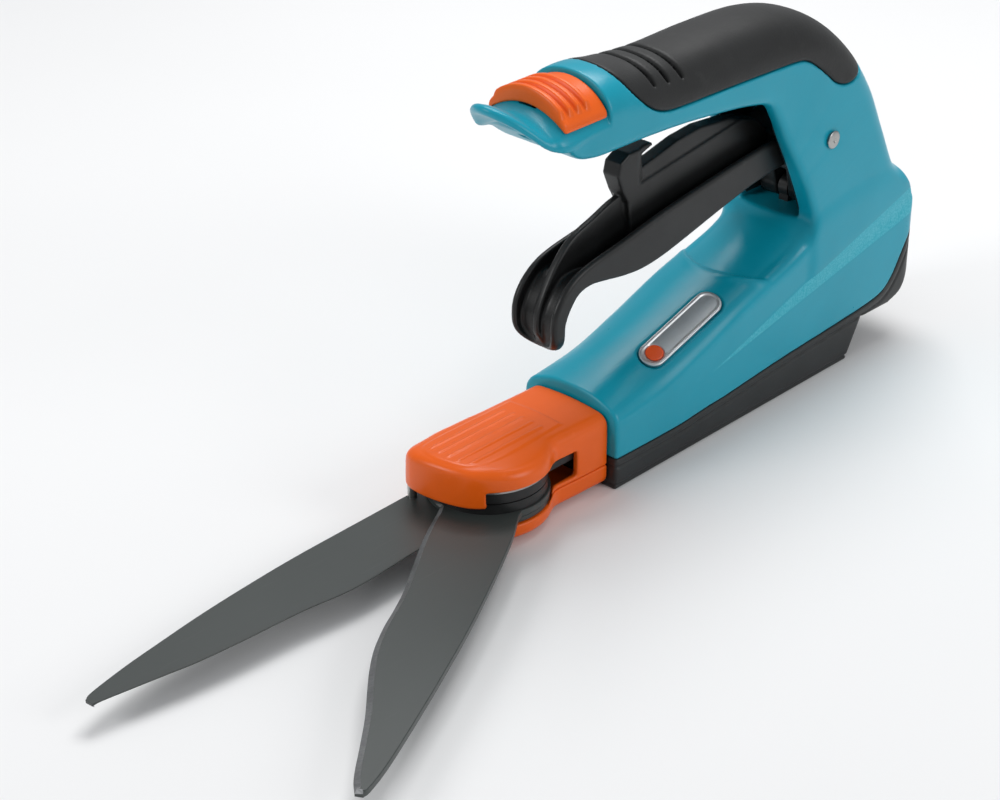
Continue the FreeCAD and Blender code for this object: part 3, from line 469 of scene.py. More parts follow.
# ------------------------------------------------------------------ body
REAR = curve([(-148, 13.5), (-155.0, 16.0), (-160, 22), (-163.3, 30), (-164.9, 36), (-165.0, 41), (-163.2, 45.8), (-159.4, 51.5), (-154.0, 58)], 6)
CROWN = [(-103, 62), (-95, 58.3), (-87.5, 55.4), (-80, 53), (-72, 50.8), (-63, 48.3), (-52, 45.0), (-41.5, 41.9), (-30, 38.6), (-20, 36), (-10, 33.6), (0, 31.6)]
BODY = [(0.0, 0.0), (-124, 0), (-131.6, 13.8)] + REAR + [(-150, 66), (-112, 66)] + curve(CROWN, 5)
LO2, HI2 = (-176, -10), (54, 150)
T_body = Tab(LO2, HI2, lambda X, Z: sd_poly(X, Z, BODY))
SEAM = [(2, 11.2), (-19, 10.9), (-33, 11.0), (-44, 11.8), (-56, 12.4), (-68, 13.4), (-80, 14.4), (-93.5, 15.3),
        (-107, 16), (-120, 16.8), (-134, 17.8), (-143.5, 19.6), (-149, 24.0), (-153.0, 30.0), (-157.0, 36.0), (-162, 40.5), (-170, 42.5)]
T_seam = Tab(LO2, HI2, lambda X, Z: sd_poly(X, Z, curve(SEAM, 5) + [(-260, 42.5), (-260, -90), (90, -90), (90, 11.2)]))
CX = np.array([c[0] for c in CROWN[::1]])
XS = np.array([-172, -112, -104, -95, -80, -63, -41.5, -20, -8, 0])
ZSIDE = np.array([60, 58.5, 57.0, 51.8, 47.2, 42.5, 34.5, 27.9, 26.7, 26.2])
ZCROWN = np.array([64, 64, 62.5, 58.3, 53.0, 48.3, 41.9, 36.0, 33.2, 31.6])


def smooth_interp(x, xs, ys):
    """Piecewise cubic (monotone-ish) interpolation."""
    m = np.gradient(ys, xs)
    i = np.clip(np.searchsorted(xs, x) - 1, 0, len(xs) - 2)
    h = xs[i + 1] - xs[i]
    t = np.clip((x - xs[i]) / h, 0, 1)
    a, b = ys[i], ys[i + 1]
    return ((2 * t ** 3 - 3 * t ** 2 + 1) * a + (t ** 3 - 2 * t ** 2 + t) * h * m[i] + (-2 * t ** 3 + 3 * t ** 2) * b + (t ** 3 - t ** 2) * h * m[i + 1])


def f_body(x, y, z):
    ay = np.abs(y)
    zs = smooth_interp(x, XS, ZSIDE)
    zc = smooth_interp(x, XS, ZCROWN)
    # side: a long wedge facet leans in and dies out again above
    t = np.maximum(-37 - x, 0)
    zA, zB = 21.8 + .195 * t, 21.8 + .297 * t
    lean = .17 * np.clip(z - zA, 0, np.maximum(zB - zA, 0))
    w = 20.25 - .012 * np.maximum(20 - z, 0) - lean
    side = ay - w
    # crown arch; the saddle in front of the post is scooped, with a rolled front lip
    xs_ = x + 66.5 + .030 * y * y
    st = 1.7 * step(0.0, -2.6, xs_) * step(-36, -8, xs_) - .45 * np.exp(-((xs_ - 1.2) / 1.5) ** 2)
    ztop = zs + (zc - zs) * (1 - np.clip(ay / 20.3, 0, 1.2) ** 2.1) - st * step(20.5, 14.0, ay)
    slope = .93
    top = (z - ztop) * slope
    # rounded rear corners in plan
    r = 11.0
    dx, dy = np.maximum(-(x + 165.1 - r), 0), np.maximum(ay - (20.3 - r), 0)
    plan = np.sqrt(dx * dx + dy * dy) - r
    plan = np.where(x < -165.1 + r, plan, ay - 20.3)
    f = smax(side, top, 4.5)
    f = smax(f, T_body(x, z), 1.2)
    return smax(f, plan, .8)


# ------------------------------------------------------------------ loop handle
HAND = [((-165.0, 30), (-104, 30), 20.2, 10, 3.2), ((-165.0, 44), (-104, 44), 20.2, 10, 3.2), ((-158, 58.5), (-102.6, 56), 20.1, 10, 3.2),
        ((-150.6, 67), (-99.4, 66), 19.8, 10, 3.0), ((-142.6, 83), (-92.2, 81), 19.2, 10, 3.0), ((-134.2, 101.5), (-85.0, 94.0), 18.4, 11, 2.8),
        ((-122.5, 117.5), (-80.4, 102.8), 17.7, 12, 2.5), ((-106.5, 129.6), (-75.8, 108.6), 17.2, 13, 2.3), ((-87, 135.6), (-66.0, 111.2), 16.8, 13.5, 2.2),
        ((-62, 136.8), (-54.0, 112.9), 16.7, 14, 2.2), ((-36, 136.4), (-34.0, 115.0), 16.7, 14, 2.2), ((-16, 137.8), (-15.0, 116.0), 16.7, 13.5, 2.2),
        ((-4, 139.5), (-4.0, 116.2), 16.7, 13, 2.2), ((6, 138.6), (6.0, 116.4), 16.7, 12, 2.2), ((16, 135.4), (13.0, 117.4), 16.7, 10, 2.2), ((24, 131.0), (22, 119), 16.5, 8, 2.2)]
OUTC = curve([h[0] for h in HAND], 8)
INC = curve([h[1] for h in HAND], 8)
ST = [i / 8 for i in range(len(OUTC))]
far_out = [(90, 110), (90, -160), (-165, -160)]
T_out = Tab(LO2, HI2, lambda X, Z: sd_poly(X, Z, OUTC + far_out, ST + [ST[-1], ST[-1], 0.0])[0])
T_sta = Tab(LO2, HI2, lambda X, Z: sd_poly(X, Z, OUTC + far_out, ST + [ST[-1], ST[-1], 0.0])[1])
T_in = Tab(LO2, HI2, lambda X, Z: sd_poly(X, Z, INC + [(90, 119), (90, 300), (-300, 300), (-300, 30)]))
SI = np.arange(len(HAND))
SW = np.array([h[2] for h in HAND])
SH = np.array([float(h[3]) for h in HAND])
SN = np.array([h[4] for h in HAND])


def f_arch(x, y, z, off=0.0):
    """Rounded outer surface of the handle."""
    s = -T_out(x, z) - off
    k = T_sta(x, z)
    W = np.interp(k, SI, SW) - off
    h = np.interp(k, SI, SH) - off * .6
    n = np.interp(k, SI, SN)
    t = np.maximum(1 - s / h, 0)
    u = np.abs(y) / W
    t, u, n, h, W = np.broadcast_arrays(t, u, n, h, W)
    Q = np.maximum(t ** n + u ** n, 1e-9) ** (1 / n)
    g = np.sqrt(((t / Q) ** (n - 1) / h) ** 2 + ((u / Q) ** (n - 1) / W) ** 2)
    return (Q - 1) / np.maximum(g, 1e-4)


LZX = np.array([8, 14, 20, 24, 28, 32, 36, 40, 44.0])
LZZ = np.array([137.0, 135.6, 133.2, 132.0, 132.6, 134.8, 136.9, 138.4, 139.3])
TONGUE = curve([(4, -16.6), (20, -16.6), (25.5, -15.9), (31, -13.2), (36.2, -9.2), (39.6, -4.8), (40.8, 0), (39.6, 4.8), (36.2, 9.2), (31, 13.2), (25.5, 15.9), (20, 16.6), (4, 16.6)], 6)
T_tongue = Tab((-20, -26), (60, 26), lambda X, Y: sd_poly(X, Y, TONGUE))


def f_lip(x, y, z):
    zc = smooth_interp(x, LZX, LZZ) - 6.4 * (y / 16.5) ** 2
    return smax(np.abs(z - (zc - 1.6)) * .88 - 1.5, T_tongue(x, y), 2.2)


SEAT_R, SEAT_C = 19.6, 115.7


def f_hand(x, y, z):
    f = smax(f_arch(x, y, z), T_in(x, z), 3.2)
    f = smax(f, .654 * (x - 15.9) - .756 * (z - 118.3), 2.0)
    f = smax(f, x - 24.0, 1.5)
    return smin(f, smax(f_lip(x, y, z), 6 - x, 1.0), 2.5)


def cavity(x, y, z):
    c = smax(f_arch(x, y, z, 3.4), np.abs(y) - 12.1, 1.5)
    c = smax(c, x - 12.0, 2.0)
    return smax(c, 60.6 - z, 1.0)


GRIP_EDGE = curve([(-127.0, 110.4), (-121.5, 106.8), (-116, 105.6), (-110, 107.6), (-104.8, 111.7), (-100.5, 115.2), (-96.8, 117.8), (-93.4, 119.5), (-89.7, 120.3), (-79.6, 120.8),
                   (-52, 121.6), (-33, 122.0), (-24.2, 122.6), (-18.4, 124.4), (-14.1, 127.2), (-10.6, 130.4), (-8.0, 133.6), (-5.8, 137.5), (-4.6, 141.5)], 5)
T_grip = Tab(LO2, HI2, lambda X, Z: sd_poly(X, Z, GRIP_EDGE + [(-4.6, 190), (-200, 190), (-150, 128)]))

# badge: local frame on the neck's left flank
BC = Vector((-41.0, 11.0, 0))


def crown_z(x, y):
    xs, ys = np.array([x], float), np.array([y], float)
    zs, zc = smooth_interp(xs, XS, ZSIDE), smooth_interp(xs, XS, ZCROWN)
    return float((zs + (zc - zs) * (1 - (abs(y) / 20.3) ** 2.1))[0])


nx = (crown_z(BC.x + 8, BC.y) - crown_z(BC.x - 8, BC.y)) / 16
ny = (crown_z(BC.x, BC.y + 2) - crown_z(BC.x, BC.y - 2)) / 4
BN = Vector((-nx, -ny, 1)).normalized()
BU = (Vector((1, 0, nx))).normalized()
BU = (BU - BN * BU.dot(BN)).normalized()
BV = BN.cross(BU)
BC.z = crown_z(BC.x, BC.y)


def badge_uvw(x, y, z):
    dx, dy, dz = x - BC.x, y - BC.y, z - BC.z
    return (dx * BU.x + dy * BU.y + dz * BU.z, dx * BV.x + dy * BV.y + dz * BV.z, dx * BN.x + dy * BN.y + dz * BN.z)


def f_stadium(u, v, l, w):
    """Rounded bar in plan."""
    return np.sqrt(np.maximum(np.abs(u) - (l / 2 - w / 2), 0) ** 2 + v * v) - w / 2


SIL = [(0.0, 0.0), (-124, 0), (-131.6, 13.8)] + REAR[:-4] + [h for h in OUTC if h[1] > 62] + [(60, 131), (60, 0)]
T_sil = Tab(LO2, HI2, lambda X, Z: sd_poly(X, Z, SIL))


def f_housing_all(x, y, z):
    f = smin(f_body(x, y, z), smax(f_hand(x, y, z), np.maximum(40, 26 + .26 * (-44 - x)) - z, 6.0), 7.0)
    f = smax(f, np.abs(y) - 20.3, .8)
    return np.where(x < -100, smax(f, T_sil(x, z), .8), f)


def f_housing(x, y, z):
    f = f_housing_all(x, y, z)
    # recess for the grip skin
    f = np.maximum(f, -smax(T_grip(x, z) - .25, -(f_arch(x, y, z) + 1.9), .3))
    f = smax(f, -(T_seam(x, z) - .16), .55)
    f = smax(f, -cavity(x, y, z), 1.1)
    # slider's seat and slot
    seat = smax(-(np.sqrt(np.maximum(z - SEAT_C, 0) ** 2 + y * y) - SEAT_R), np.abs(x - 15.35) - 12.65, .5)
    f = smax(f, -seat, .5)
    f = smax(f, -sbox(x, y, z, 11.6, 21.4, -3.4, 3.4, 122, 150, .6), .5)
    # neck bore, pin recess, badge pocket
    f = smax(f, -smax(np.sqrt(y * y + (z - 14.3) ** 2) - 11.85, -10.2 - x, .3), .8)
    pr = np.sqrt((x + 108.3) ** 2 + (z - 88.3) ** 2)
    f = smax(f, -smax(pr - 3.6, 18.75 - np.abs(y), .2), .4)
    u, v, w = badge_uvw(x, y, z)
    f = smax(f, -smax(f_stadium(u, v, 38.9, 10.1), -.9 - w, .2), .5)
    return f


def grooves(x, y):
    g = 0
    for k in range(3):
        xc = -19.0 - 6.6 * k - .006 * (y - 3) ** 2
        g = np.maximum(g, np.exp(-((x - xc) / .95) ** 2))
    return g * step(14.5, 11.5, np.abs(y - 1.0))


def f_grip(x, y, z):
    outer = f_hand(x, y, z)
    f = smax(outer - .05, -(f_arch(x, y, z) + 1.75), .5)
    f = smax(f, T_grip(x, z), 1.3)
    return f + 1.30 * grooves(x, y) * step(-1.6, -1.0, f_arch(x, y, z))


def f_base(x, y, z):
    f = f_body(x, y, z) + .0
    f = smax(f, T_seam(x, z) + .16, .55)
    # drip line under the seam and a relief groove round the foot
    d = np.abs(T_seam(x, z) + 3.0) - .45
    f = smax(f, -smax(d, -(f_body(x, y, z) + .35), .2), .3)
    f = smax(f, -smax(np.abs(z - 1.6) - .4, -(f_body(x, y, z) + .35), .2), .3)
    f = smax(f, -smax(np.sqrt(y * y + (z - 14.3) ** 2) - 11.85, -10.2 - x, .3), .5)
    # screw pockets and foot pads' relief underneath
    for sx, sy in ((-24, 15.2), (-24, -15.2), (-112, 15.0), (-112, -15.0)):
        f = smax(f, -smax(np.sqrt((x - sx) ** 2 + (y - sy) ** 2) - 3.1, z - 2.6, .2), .4)
    f = smax(f, -sbox(x, y, z, -104, -32, -11, 11, -5, .6, .3), .4)
    # hollow inside
    return smax(f, -smax(f_body(x, y, z) + 2.3, x + 10.2, .5), .5)


net_piece("upper_housing_shell", f_housing, (-165.5, -20.6, 9), (42, 20.6, 141), .62, "housing", "teal_plastic", ("upper_housing",))
net_piece("base_shell", f_base, (-165.5, -20.6, -.2), (0.4, 20.6, 46), .62, "housing", "dark_base", ("base_cover",))
net_piece("grip_skin", f_grip, (-140, -19.5, 103), (-2, 19.5, 141), .5, "housing", "soft_grip", ("grip_overmould",))

# badge plate with a rolled rim, and its plain insert
def f_plate(u, v, w):
    f = smax(f_stadium(u, v, 38.0, 9.2), np.abs(w - .05) - .85, .5)
    f = smax(f, -smax(f_stadium(u, v, 35.6, 6.8), .55 - w, .3), .35)
    return smax(f, -smax(f_stadium(u - 13.6, v, 6.6, 6.2), .2 - w, .2), .3)


def f_inlay(u, v, w):
    d = f_stadium(u - 13.6, v, 6.2, 5.9)
    f = smax(d, np.abs(w - .45) - .38, .5)
    return f - .0


def local_net(name, f, lo, hi, h, slot, nodes):
    V, Q = nets(f, lo, hi, h)
    R = np.array([list(BU), list(BV), list(BN)])
    V = V @ R + np.array(list(BC))
    return mesh_piece(name, V, Q, "housing", slot, nodes)


local_net("badge_plate_rim", f_plate, (-19.2, -4.8, -1), (19.2, 4.8, 1.1), .22, "badge_silver", ("badge_plate",))
local_net("badge_insert", f_inlay, (9.8, -3.4, 0), (17.4, 3.4, 1.0), .16, "badge_orange", ("badge_inlay",))

# ------------------------------------------------------------------ trigger
RIM = curve([(-96, 91.6), (-80, 90.2), (-64, 88.3), (-35, 84.2), (-13, 80.0), (0, 77.8), (8, 75.4), (14, 71.2), (17.6, 66), (18.6, 60.5), (17.6, 54.5), (14.2, 50.4), (10.6, 48.8)], 6)
LOW = curve([(10.6, 48.8), (11.8, 52.5), (12.9, 57.0), (12.6, 61.0), (10.2, 65.5), (6.5, 69.0), (1.0, 70.0), (-6, 69.1), (-14, 67.8), (-23, 67.2),
             (-33, 68.3), (-45, 70.9), (-64, 75.4), (-80, 78.6), (-96, 80.4)], 6)
LO3, HI3 = (-124, 40), (26, 112)
T_tr = Tab(LO3, HI3, lambda X, Z: sd_poly(X, Z, RIM + LOW[1:]), .3)
RIN = curve([(-93, 99), (-64, 96), (-35, 92), (-13, 88), (2, 86), (12, 83), (20, 76), (25, 66), (25, 60), (21, 55), (14.6, 50.6)], 5)
LIN = curve([(14.6, 50.6), (15.0, 53.5), (15.5, 57.5), (15.2, 62.0), (12.4, 67.2), (7.4, 71.5), (1.2, 72.6), (-6, 71.6), (-14, 70.3), (-23, 69.6), (-33, 70.8),
             (-45, 73.4), (-64, 77.9), (-93, 82.8)], 5)
T_trin = Tab(LO3, HI3, lambda X, Z: sd_poly(X, Z, RIN + LIN[1:]), .3)


def f_u(y, z, r):
    """U-shaped section: straight sides, half round below z = 58.3."""
    return np.sqrt(np.maximum(58.3 - z, 0) ** 2 + y * y) - r


WEB = [(-92, 84), (-92, 93), (-86, 98.0), (-72, 102.0), (-58, 103.2), (-47, 102.2), (-37.0, 99.9), (-29.4, 98.4), (-28.5, 102.7), (-34.2, 104.4), (-33.6, 105.4),
       (-22, 105.2), (-17.8, 103.0), (-16.8, 98.9), (-19.6, 92.5), (-22.0, 88.5), (-24.0, 76)]
RIBT = curve([(-96, 90.4), (-80, 90.6), (-64, 90.6), (-44, 90.9), (-22.6, 91.2), (-8.6, 87.1), (1.6, 83.4), (8.2, 77.7), (13.0, 71.0), (16.2, 65.0), (17.4, 60.4), (17.0, 56.0),
              (14.4, 52.2)], 5)
T_rib = Tab(LO3, HI3, lambda X, Z: sd_poly(X, Z, RIBT + [(12.0, 53.6), (13.4, 57.2), (13.2, 61.4), (10.6, 66.0), (6.8, 69.6), (1.0, 70.8), (-6, 70), (-14, 68.8), (-23, 68.2),
                                                      (-33, 69.3), (-45, 71.9), (-64, 76.4), (-96, 81.4)]), .3)
T_web = Tab(LO3, HI3, lambda X, Z: sd_poly(X, Z, WEB), .3)
TX, TZ = -108.3, 88.3
jt = [j for j in frame["joints"] if j["name"] == "rod_pivot"][0]
AX, AZ = jt["pos_m"][0] * 1000 - FOOT_MID, jt["pos_m"][2] * 1000
NECK = [(-94, 82.5), (-94, 91.4), (TX + 2, 95.5), (TX - 3, 81)]
ARM = [(TX - 6.5, TZ - 3), (TX + 6.5, TZ - 3), (AX + 4.5, AZ), (AX - 4.5, AZ)]
T_neck = Tab(LO3, HI3, lambda X, Z: np.minimum(sd_poly(X, Z, NECK), sd_poly(X, Z, ARM)), .3)


def f_trigger(x, y, z):
    ay = np.abs(y)
    out = smax(T_tr(x, z), f_u(y, z, 9.5), 1.6)
    shell = smax(out, -smax(T_trin(x, z), f_u(y, z, 7.2), 1.2), .9)
    rib = smax(smax(T_rib(x, z), ay - 1.3, .8), f_u(y, z, 8.4), .6)
    # cross webs brace the rib under the thumb end
    f = smin(shell, rib, 1.4)
    for xb in (-70.0, -48.0):
        f = smin(f, smax(smax(np.abs(x - xb + (z - 80) * .12) - .8, ay - 8.2, .4), T_tr(x, z) + 4.2, .6), .9)
    # web under the catch: full width below a moulded ledge, slimmer above it
    ledge = z - (92.6 + (-22.2 - x) * .136)
    web = smax(T_web(x, z), ay - 3.4 + .8 * step(-.25, .25, ledge) * step(-26, -30, x), .7)
    f = smin(f, web, 1.2)
    hub = smax(np.sqrt((x - TX) ** 2 + (z - TZ) ** 2) - 8.2, ay - 9.5, .8)
    arm = smax(smin(T_neck(x, z), np.sqrt((x - AX) ** 2 + (z - AZ) ** 2) - 4.5, 1.0), ay - 9.5, .8)
    f = smin(smin(f, hub, 1.0), arm, 1.0)
    f = smax(f, -smax(np.maximum(np.abs(x - AX - 1.5) - 10.5, np.abs(z - AZ - .2) - 8.2), ay - 2.6, .3), .5)
    f = smax(f, -(np.sqrt((x - AX) ** 2 + (z - AZ) ** 2) - 2.1), .2)
    return smax(f, -(np.sqrt((x - TX) ** 2 + (z - TZ) ** 2) - 2.7), .3)


net_piece("trigger_shell", f_trigger, (-117, -9.6, 48.5), (19, 9.6, 105.6), .5, "trigger", "trigger_black", ("trigger_lever",))

# ------------------------------------------------------------------ black sheet lining the post's mouth as painted shade, domed rivet
# thin black sheet over the cavity walls: painted shade for the shadowed recess inside the post
def f_shade_lining(x, y, z):
    c = smax(f_arch(x, y, z, 3.6), np.abs(y) - 11.95, 1.2)
    c = smax(c, T_in(x, z) + .9, .8)
    ci = smax(f_arch(x, y, z, 4.8), np.abs(y) - 10.9, 1.2)
    f = smax(c, -ci, .3)
    f = smax(f, smax(z - 102.0, 62.2 - z, .5), .5)
    f = smax(f, smax(x + 84.0, -149 - x, .5), .5)
    return smax(f, -(np.sqrt((x - TX) ** 2 + (z - TZ) ** 2) - 7.0), .3)


net_piece("post_shade_lining", f_shade_lining, (-150, -12, 62), (-83, 12, 102.2), .5, "housing", "trigger_black", ("post_liner",))


def f_rivet(x, y, z):
    r = np.sqrt((x - TX) ** 2 + (z - TZ) ** 2)
    ay = np.abs(y)
    head = smax(smax(r - 3.2, ay - (19.72 - .05 * r * r), .35), 19.02 - ay, .1)
    dimple = np.sqrt(r * r + (ay - 20.5) ** 2) - 1.25
    head = smax(head, -dimple, .15)
    return smin(head, smax(r - 2.5, ay - 19.2, .2), .3)


net_piece("rivet", f_rivet, (TX - 3.4, -19.9, TZ - 3.4), (TX + 3.4, 19.9, TZ + 3.4), .25, "housing", "steel", ("trigger_pin",))

# ------------------------------------------------------------------ lock slider
def f_slider(x, y, z):
    r = np.sqrt(np.maximum(z - 118.6, -30) ** 2 + y * y)
    ri = np.sqrt(np.maximum(z - 116.0, -30) ** 2 + y * y)
    ay = np.abs(y)
    crest = 0
    for xr in (9.6, 13.3, 17.0, 20.7):
        crest = np.maximum(crest, step(1.45, .60, np.abs(x - xr)))
    crest = crest * step(14.2, 12.6, ay)
    f = smax(r - 19.35 - 1.2 * crest, -(ri - 19.6), .5)
    lipz = 133.7 - 6.4 * (y / 16.5) ** 2
    apron = smax(smax(smax(r - 19.5, 19.9 - x, .3), lipz - z, .3), ay - 15.6, .5)
    f = np.minimum(f, apron)
    f = smax(f, x - 21.9, .9)
    f = smax(f, 3.1 - x, .9)
    f = smax(f, ay - 15.75, .9)
    f = smax(f, 120 - z, .2)
    stem = sbox(x, y, z, 12.0, 16.0, -3.0, 3.0, 130.8, 136.5, .4)
    return np.minimum(f, stem)


net_piece("slider_cap", f_slider, (2.8, -16, 127), (22.2, 16, 139.6), .4, "lock", "orange_plastic", ("lock_slider",))

# ------------------------------------------------------------------ head covers
PIV = 38.5
FRONT = curve([(30, 16.4), (38, 16.5), (45, 15.9), (50.6, 14.6), (54.2, 12.8), (57.2, 9.4), (59.4, 4.4), (60.8, -1.3), (61.4, -7.4), (60.9, -12.6), (59.2, -15.8), (56.2, -17.6), (50, -18.3), (44, -18.3), (30, -17.4)], 5)
HB = [(0.45, 16.5), (12, 16.0), (26, 15.3), (30, 15.4)] + FRONT[1:-1] + [(30, -15.4), (26, -15.3), (12, -16.0), (0.45, -16.5)]


def fplan(X, Y):
    """Neck, round ear on the near side, front block; the far side is one straight run."""
    a = sd_poly(X, Y, [(-12, 16.5), (0.45, 16.5), (14, 16.0), (27, 15.2), (40, 15.2), (40, -15.2), (27, -15.2), (14, -16.0), (0.45, -16.5), (-12, -16.5)])
    b = np.sqrt((X - PIV) ** 2 + Y * Y) - 20.4
    c = sd_poly(X, Y, FRONT)
    far = sd_poly(X, Y, [(-12, -16.5), (0.45, -16.5), (26, -17.5), (44, -18.5), (44, 0), (-12, 0)])
    f = smin(smin(smin(a, b, 2.0), c, 1.6), far, 1.0)
    return smax(f, sd_poly(X, Y, [(-12, -16.5), (0.45, -16.5), (26, -17.5), (44, -18.5), (56.4, -17.8), (59.6, -16.2), (61.2, -13), (90, -13), (90, 60), (-12, 60)]), 1.0)


def fplan_low(X, Y):
    a = sd_poly(X, Y, [(-12, 16.5), (0.45, 16.5), (14, 16.0), (27, 15.2), (40, 15.2), (40, -15.2), (27, -15.2), (14, -16.0), (0.45, -16.5), (-12, -16.5)])
    b = np.sqrt((X - PIV) ** 2 + Y * Y) - 20.4
    return smin(a, b, 3.0)


T_plan = Tab((-6, -26), (68, 26), fplan, .25)
T_low = Tab((-6, -26), (68, 26), fplan_low, .25)

PANEL = curve([(15.5, -12.4), (17.5, -12.4), (40, -12.8), (52, -12.6), (56.6, -10.6), (58.2, -5), (57.6, 1), (55.4, 6.6), (50.5, 9.8), (40, 10.8), (17.5, 9.9), (15.5, 9.9)], 4)
T_panel = Tab((-6, -26), (68, 26), lambda X, Y: sd_poly(X, Y, PANEL), .25)


def f_head_up(x, y, z):
    crown = 27.7 - y * y * .0052
    # raised rounded panel on top, with long ribs
    pan = step(.7, -.7, T_panel(x, y))
    rib = 0
    for k in range(5):
        yr = (k - 2) * 3.95 - .9
        rib = np.maximum(rib, step(.80, .30, np.abs(y - yr)) * step(20.6, 22.2, x) * step(56.5, 54.4, x + .010 * (y + 3) ** 2))
    top = z - (crown - .35 + .30 * pan + .30 * rib * step(-1.2, -2.2, T_panel(x, y)))
    f = smax(T_plan(x, y), top, 4.2)
    f = smax(f, .45 - x, .8)
    # draft: upper sides lean in a little
    f = smax(f, T_plan(x, y) + .05 * (z - 20), .3)
    rp = np.sqrt((x - PIV) ** 2 + y * y)
    f = smax(f, (8.55 - z), .6)
    # block ahead of the discs stops above the blades
    f = smax(f, -sbox(x, y, z, 33, 80, -40, 40, -10, 14.0, .4), .8)
    # throat for the discs
    f = smax(f, -smax(rp - 20.1, z - 19.5, .3), .5)
    f = smax(f, -smax(smax(z - 19.5, 28 - x, .3), x - 53.4, .3), .5)
    # side windows
    f = smax(f, -sbox(x, y, z, 14.2, 27.6, -40, 40, 9.9, 18.9, 1.2), .7)
    # hollow inside
    f = smax(f, -sbox(x, y, z, 4.2, 30.5, -13.9, 13.9, -10, 24.9, 1.5), .5)
    f = smax(f, -smax(rp - 14.0, np.abs(z - 18) - 6.4, .5), .5)
    f = smax(f, -smax(rp - 8.8, z - 23.4, .3), .3)
    # bore for the spigot
    rb = np.sqrt(y * y + (z - 14.3) ** 2)
    return smax(f, -smax(rb - 12.6, x - 4.3, .2), .2)


def f_head_low(x, y, z):
    f = smax(T_low(x, y), 1.2 - z + .0014 * y * y, 3.2)
    f = smax(f, .45 - x, .6)
    f = smax(f, z - np.where(x < 30, 8.3, 7.0), .6)
    rp = np.sqrt((x - PIV) ** 2 + y * y)
    f = smax(f, -smax(rp - 20.1, 7.0 - z, .3), .4)
    f = smax(f, -sbox(x, y, z, 4.2, 27.5, -13.7, 13.7, 3.4, 30, 1.2), .5)
    rb = np.sqrt(y * y + (z - 14.3) ** 2)
    f = smax(f, -smax(rb - 12.75, x - 4.3, .2), .3)
    f = smax(f, -smax(rp - 8.4, z - 4.6, .3), .5)
    f = smax(f, -(rp - 5.1), .3)
    for sx, sy in ((7.0, 11.4), (7.0, -11.4)):
        rs = np.sqrt((x - sx) ** 2 + (y - sy) ** 2)
        f = smax(f, -smax(rs - 2.25, z - 3.0, .2), .3)
    return f


net_piece("head_top_shell", f_head_up, (0.2, -20.6, 8.3), (61.6, 20.6, 27.9), .42, "head", "orange_plastic", ("head_upper_cover",))
net_piece("head_bottom_shell", f_head_low, (0.2, -20.6, 1.1), (59.2, 20.6, 8.5), .42, "head", "orange_plastic", ("head_lower_cover",))

# ------------------------------------------------------------------ blades
FIX_O = [(17, -16.0), (40, -15.6), (68, -15.0), (90, -13.6), (108, -11.9), (125, -9.6), (138.4, -7.6), (152.4, -4.7), (156.0, -3.0)]
FIX_I = [(156.0, 0.0), (148.3, 1.3), (133, 3.9), (122.9, 5.6), (107.7, 6.9), (94, 7.6), (84, 8.3), (72, 10.0), (62.1, 10.3), (52, 9.7), (39.9, 9.0), (26, 9.4), (17, 10.5)]
MOV_O = [(16.5, 13.5), (31, 14.2), (54, 13.7), (77, 12.6), (99, 10.8), (121, 8.6), (143, 6.0), (154, 3.9), (157.0, 2.6)]
MOV_I = [(157.0, 0.3), (150, -1.9), (137, -3.9), (124, -6.0), (111, -8.9), (102, -10.7), (93, -11.9), (82, -12.1), (73, -11.5), (63, -11.2), (50.6, -11.8), (38, -12.4), (27, -12.4), (15.6, -11.7)]


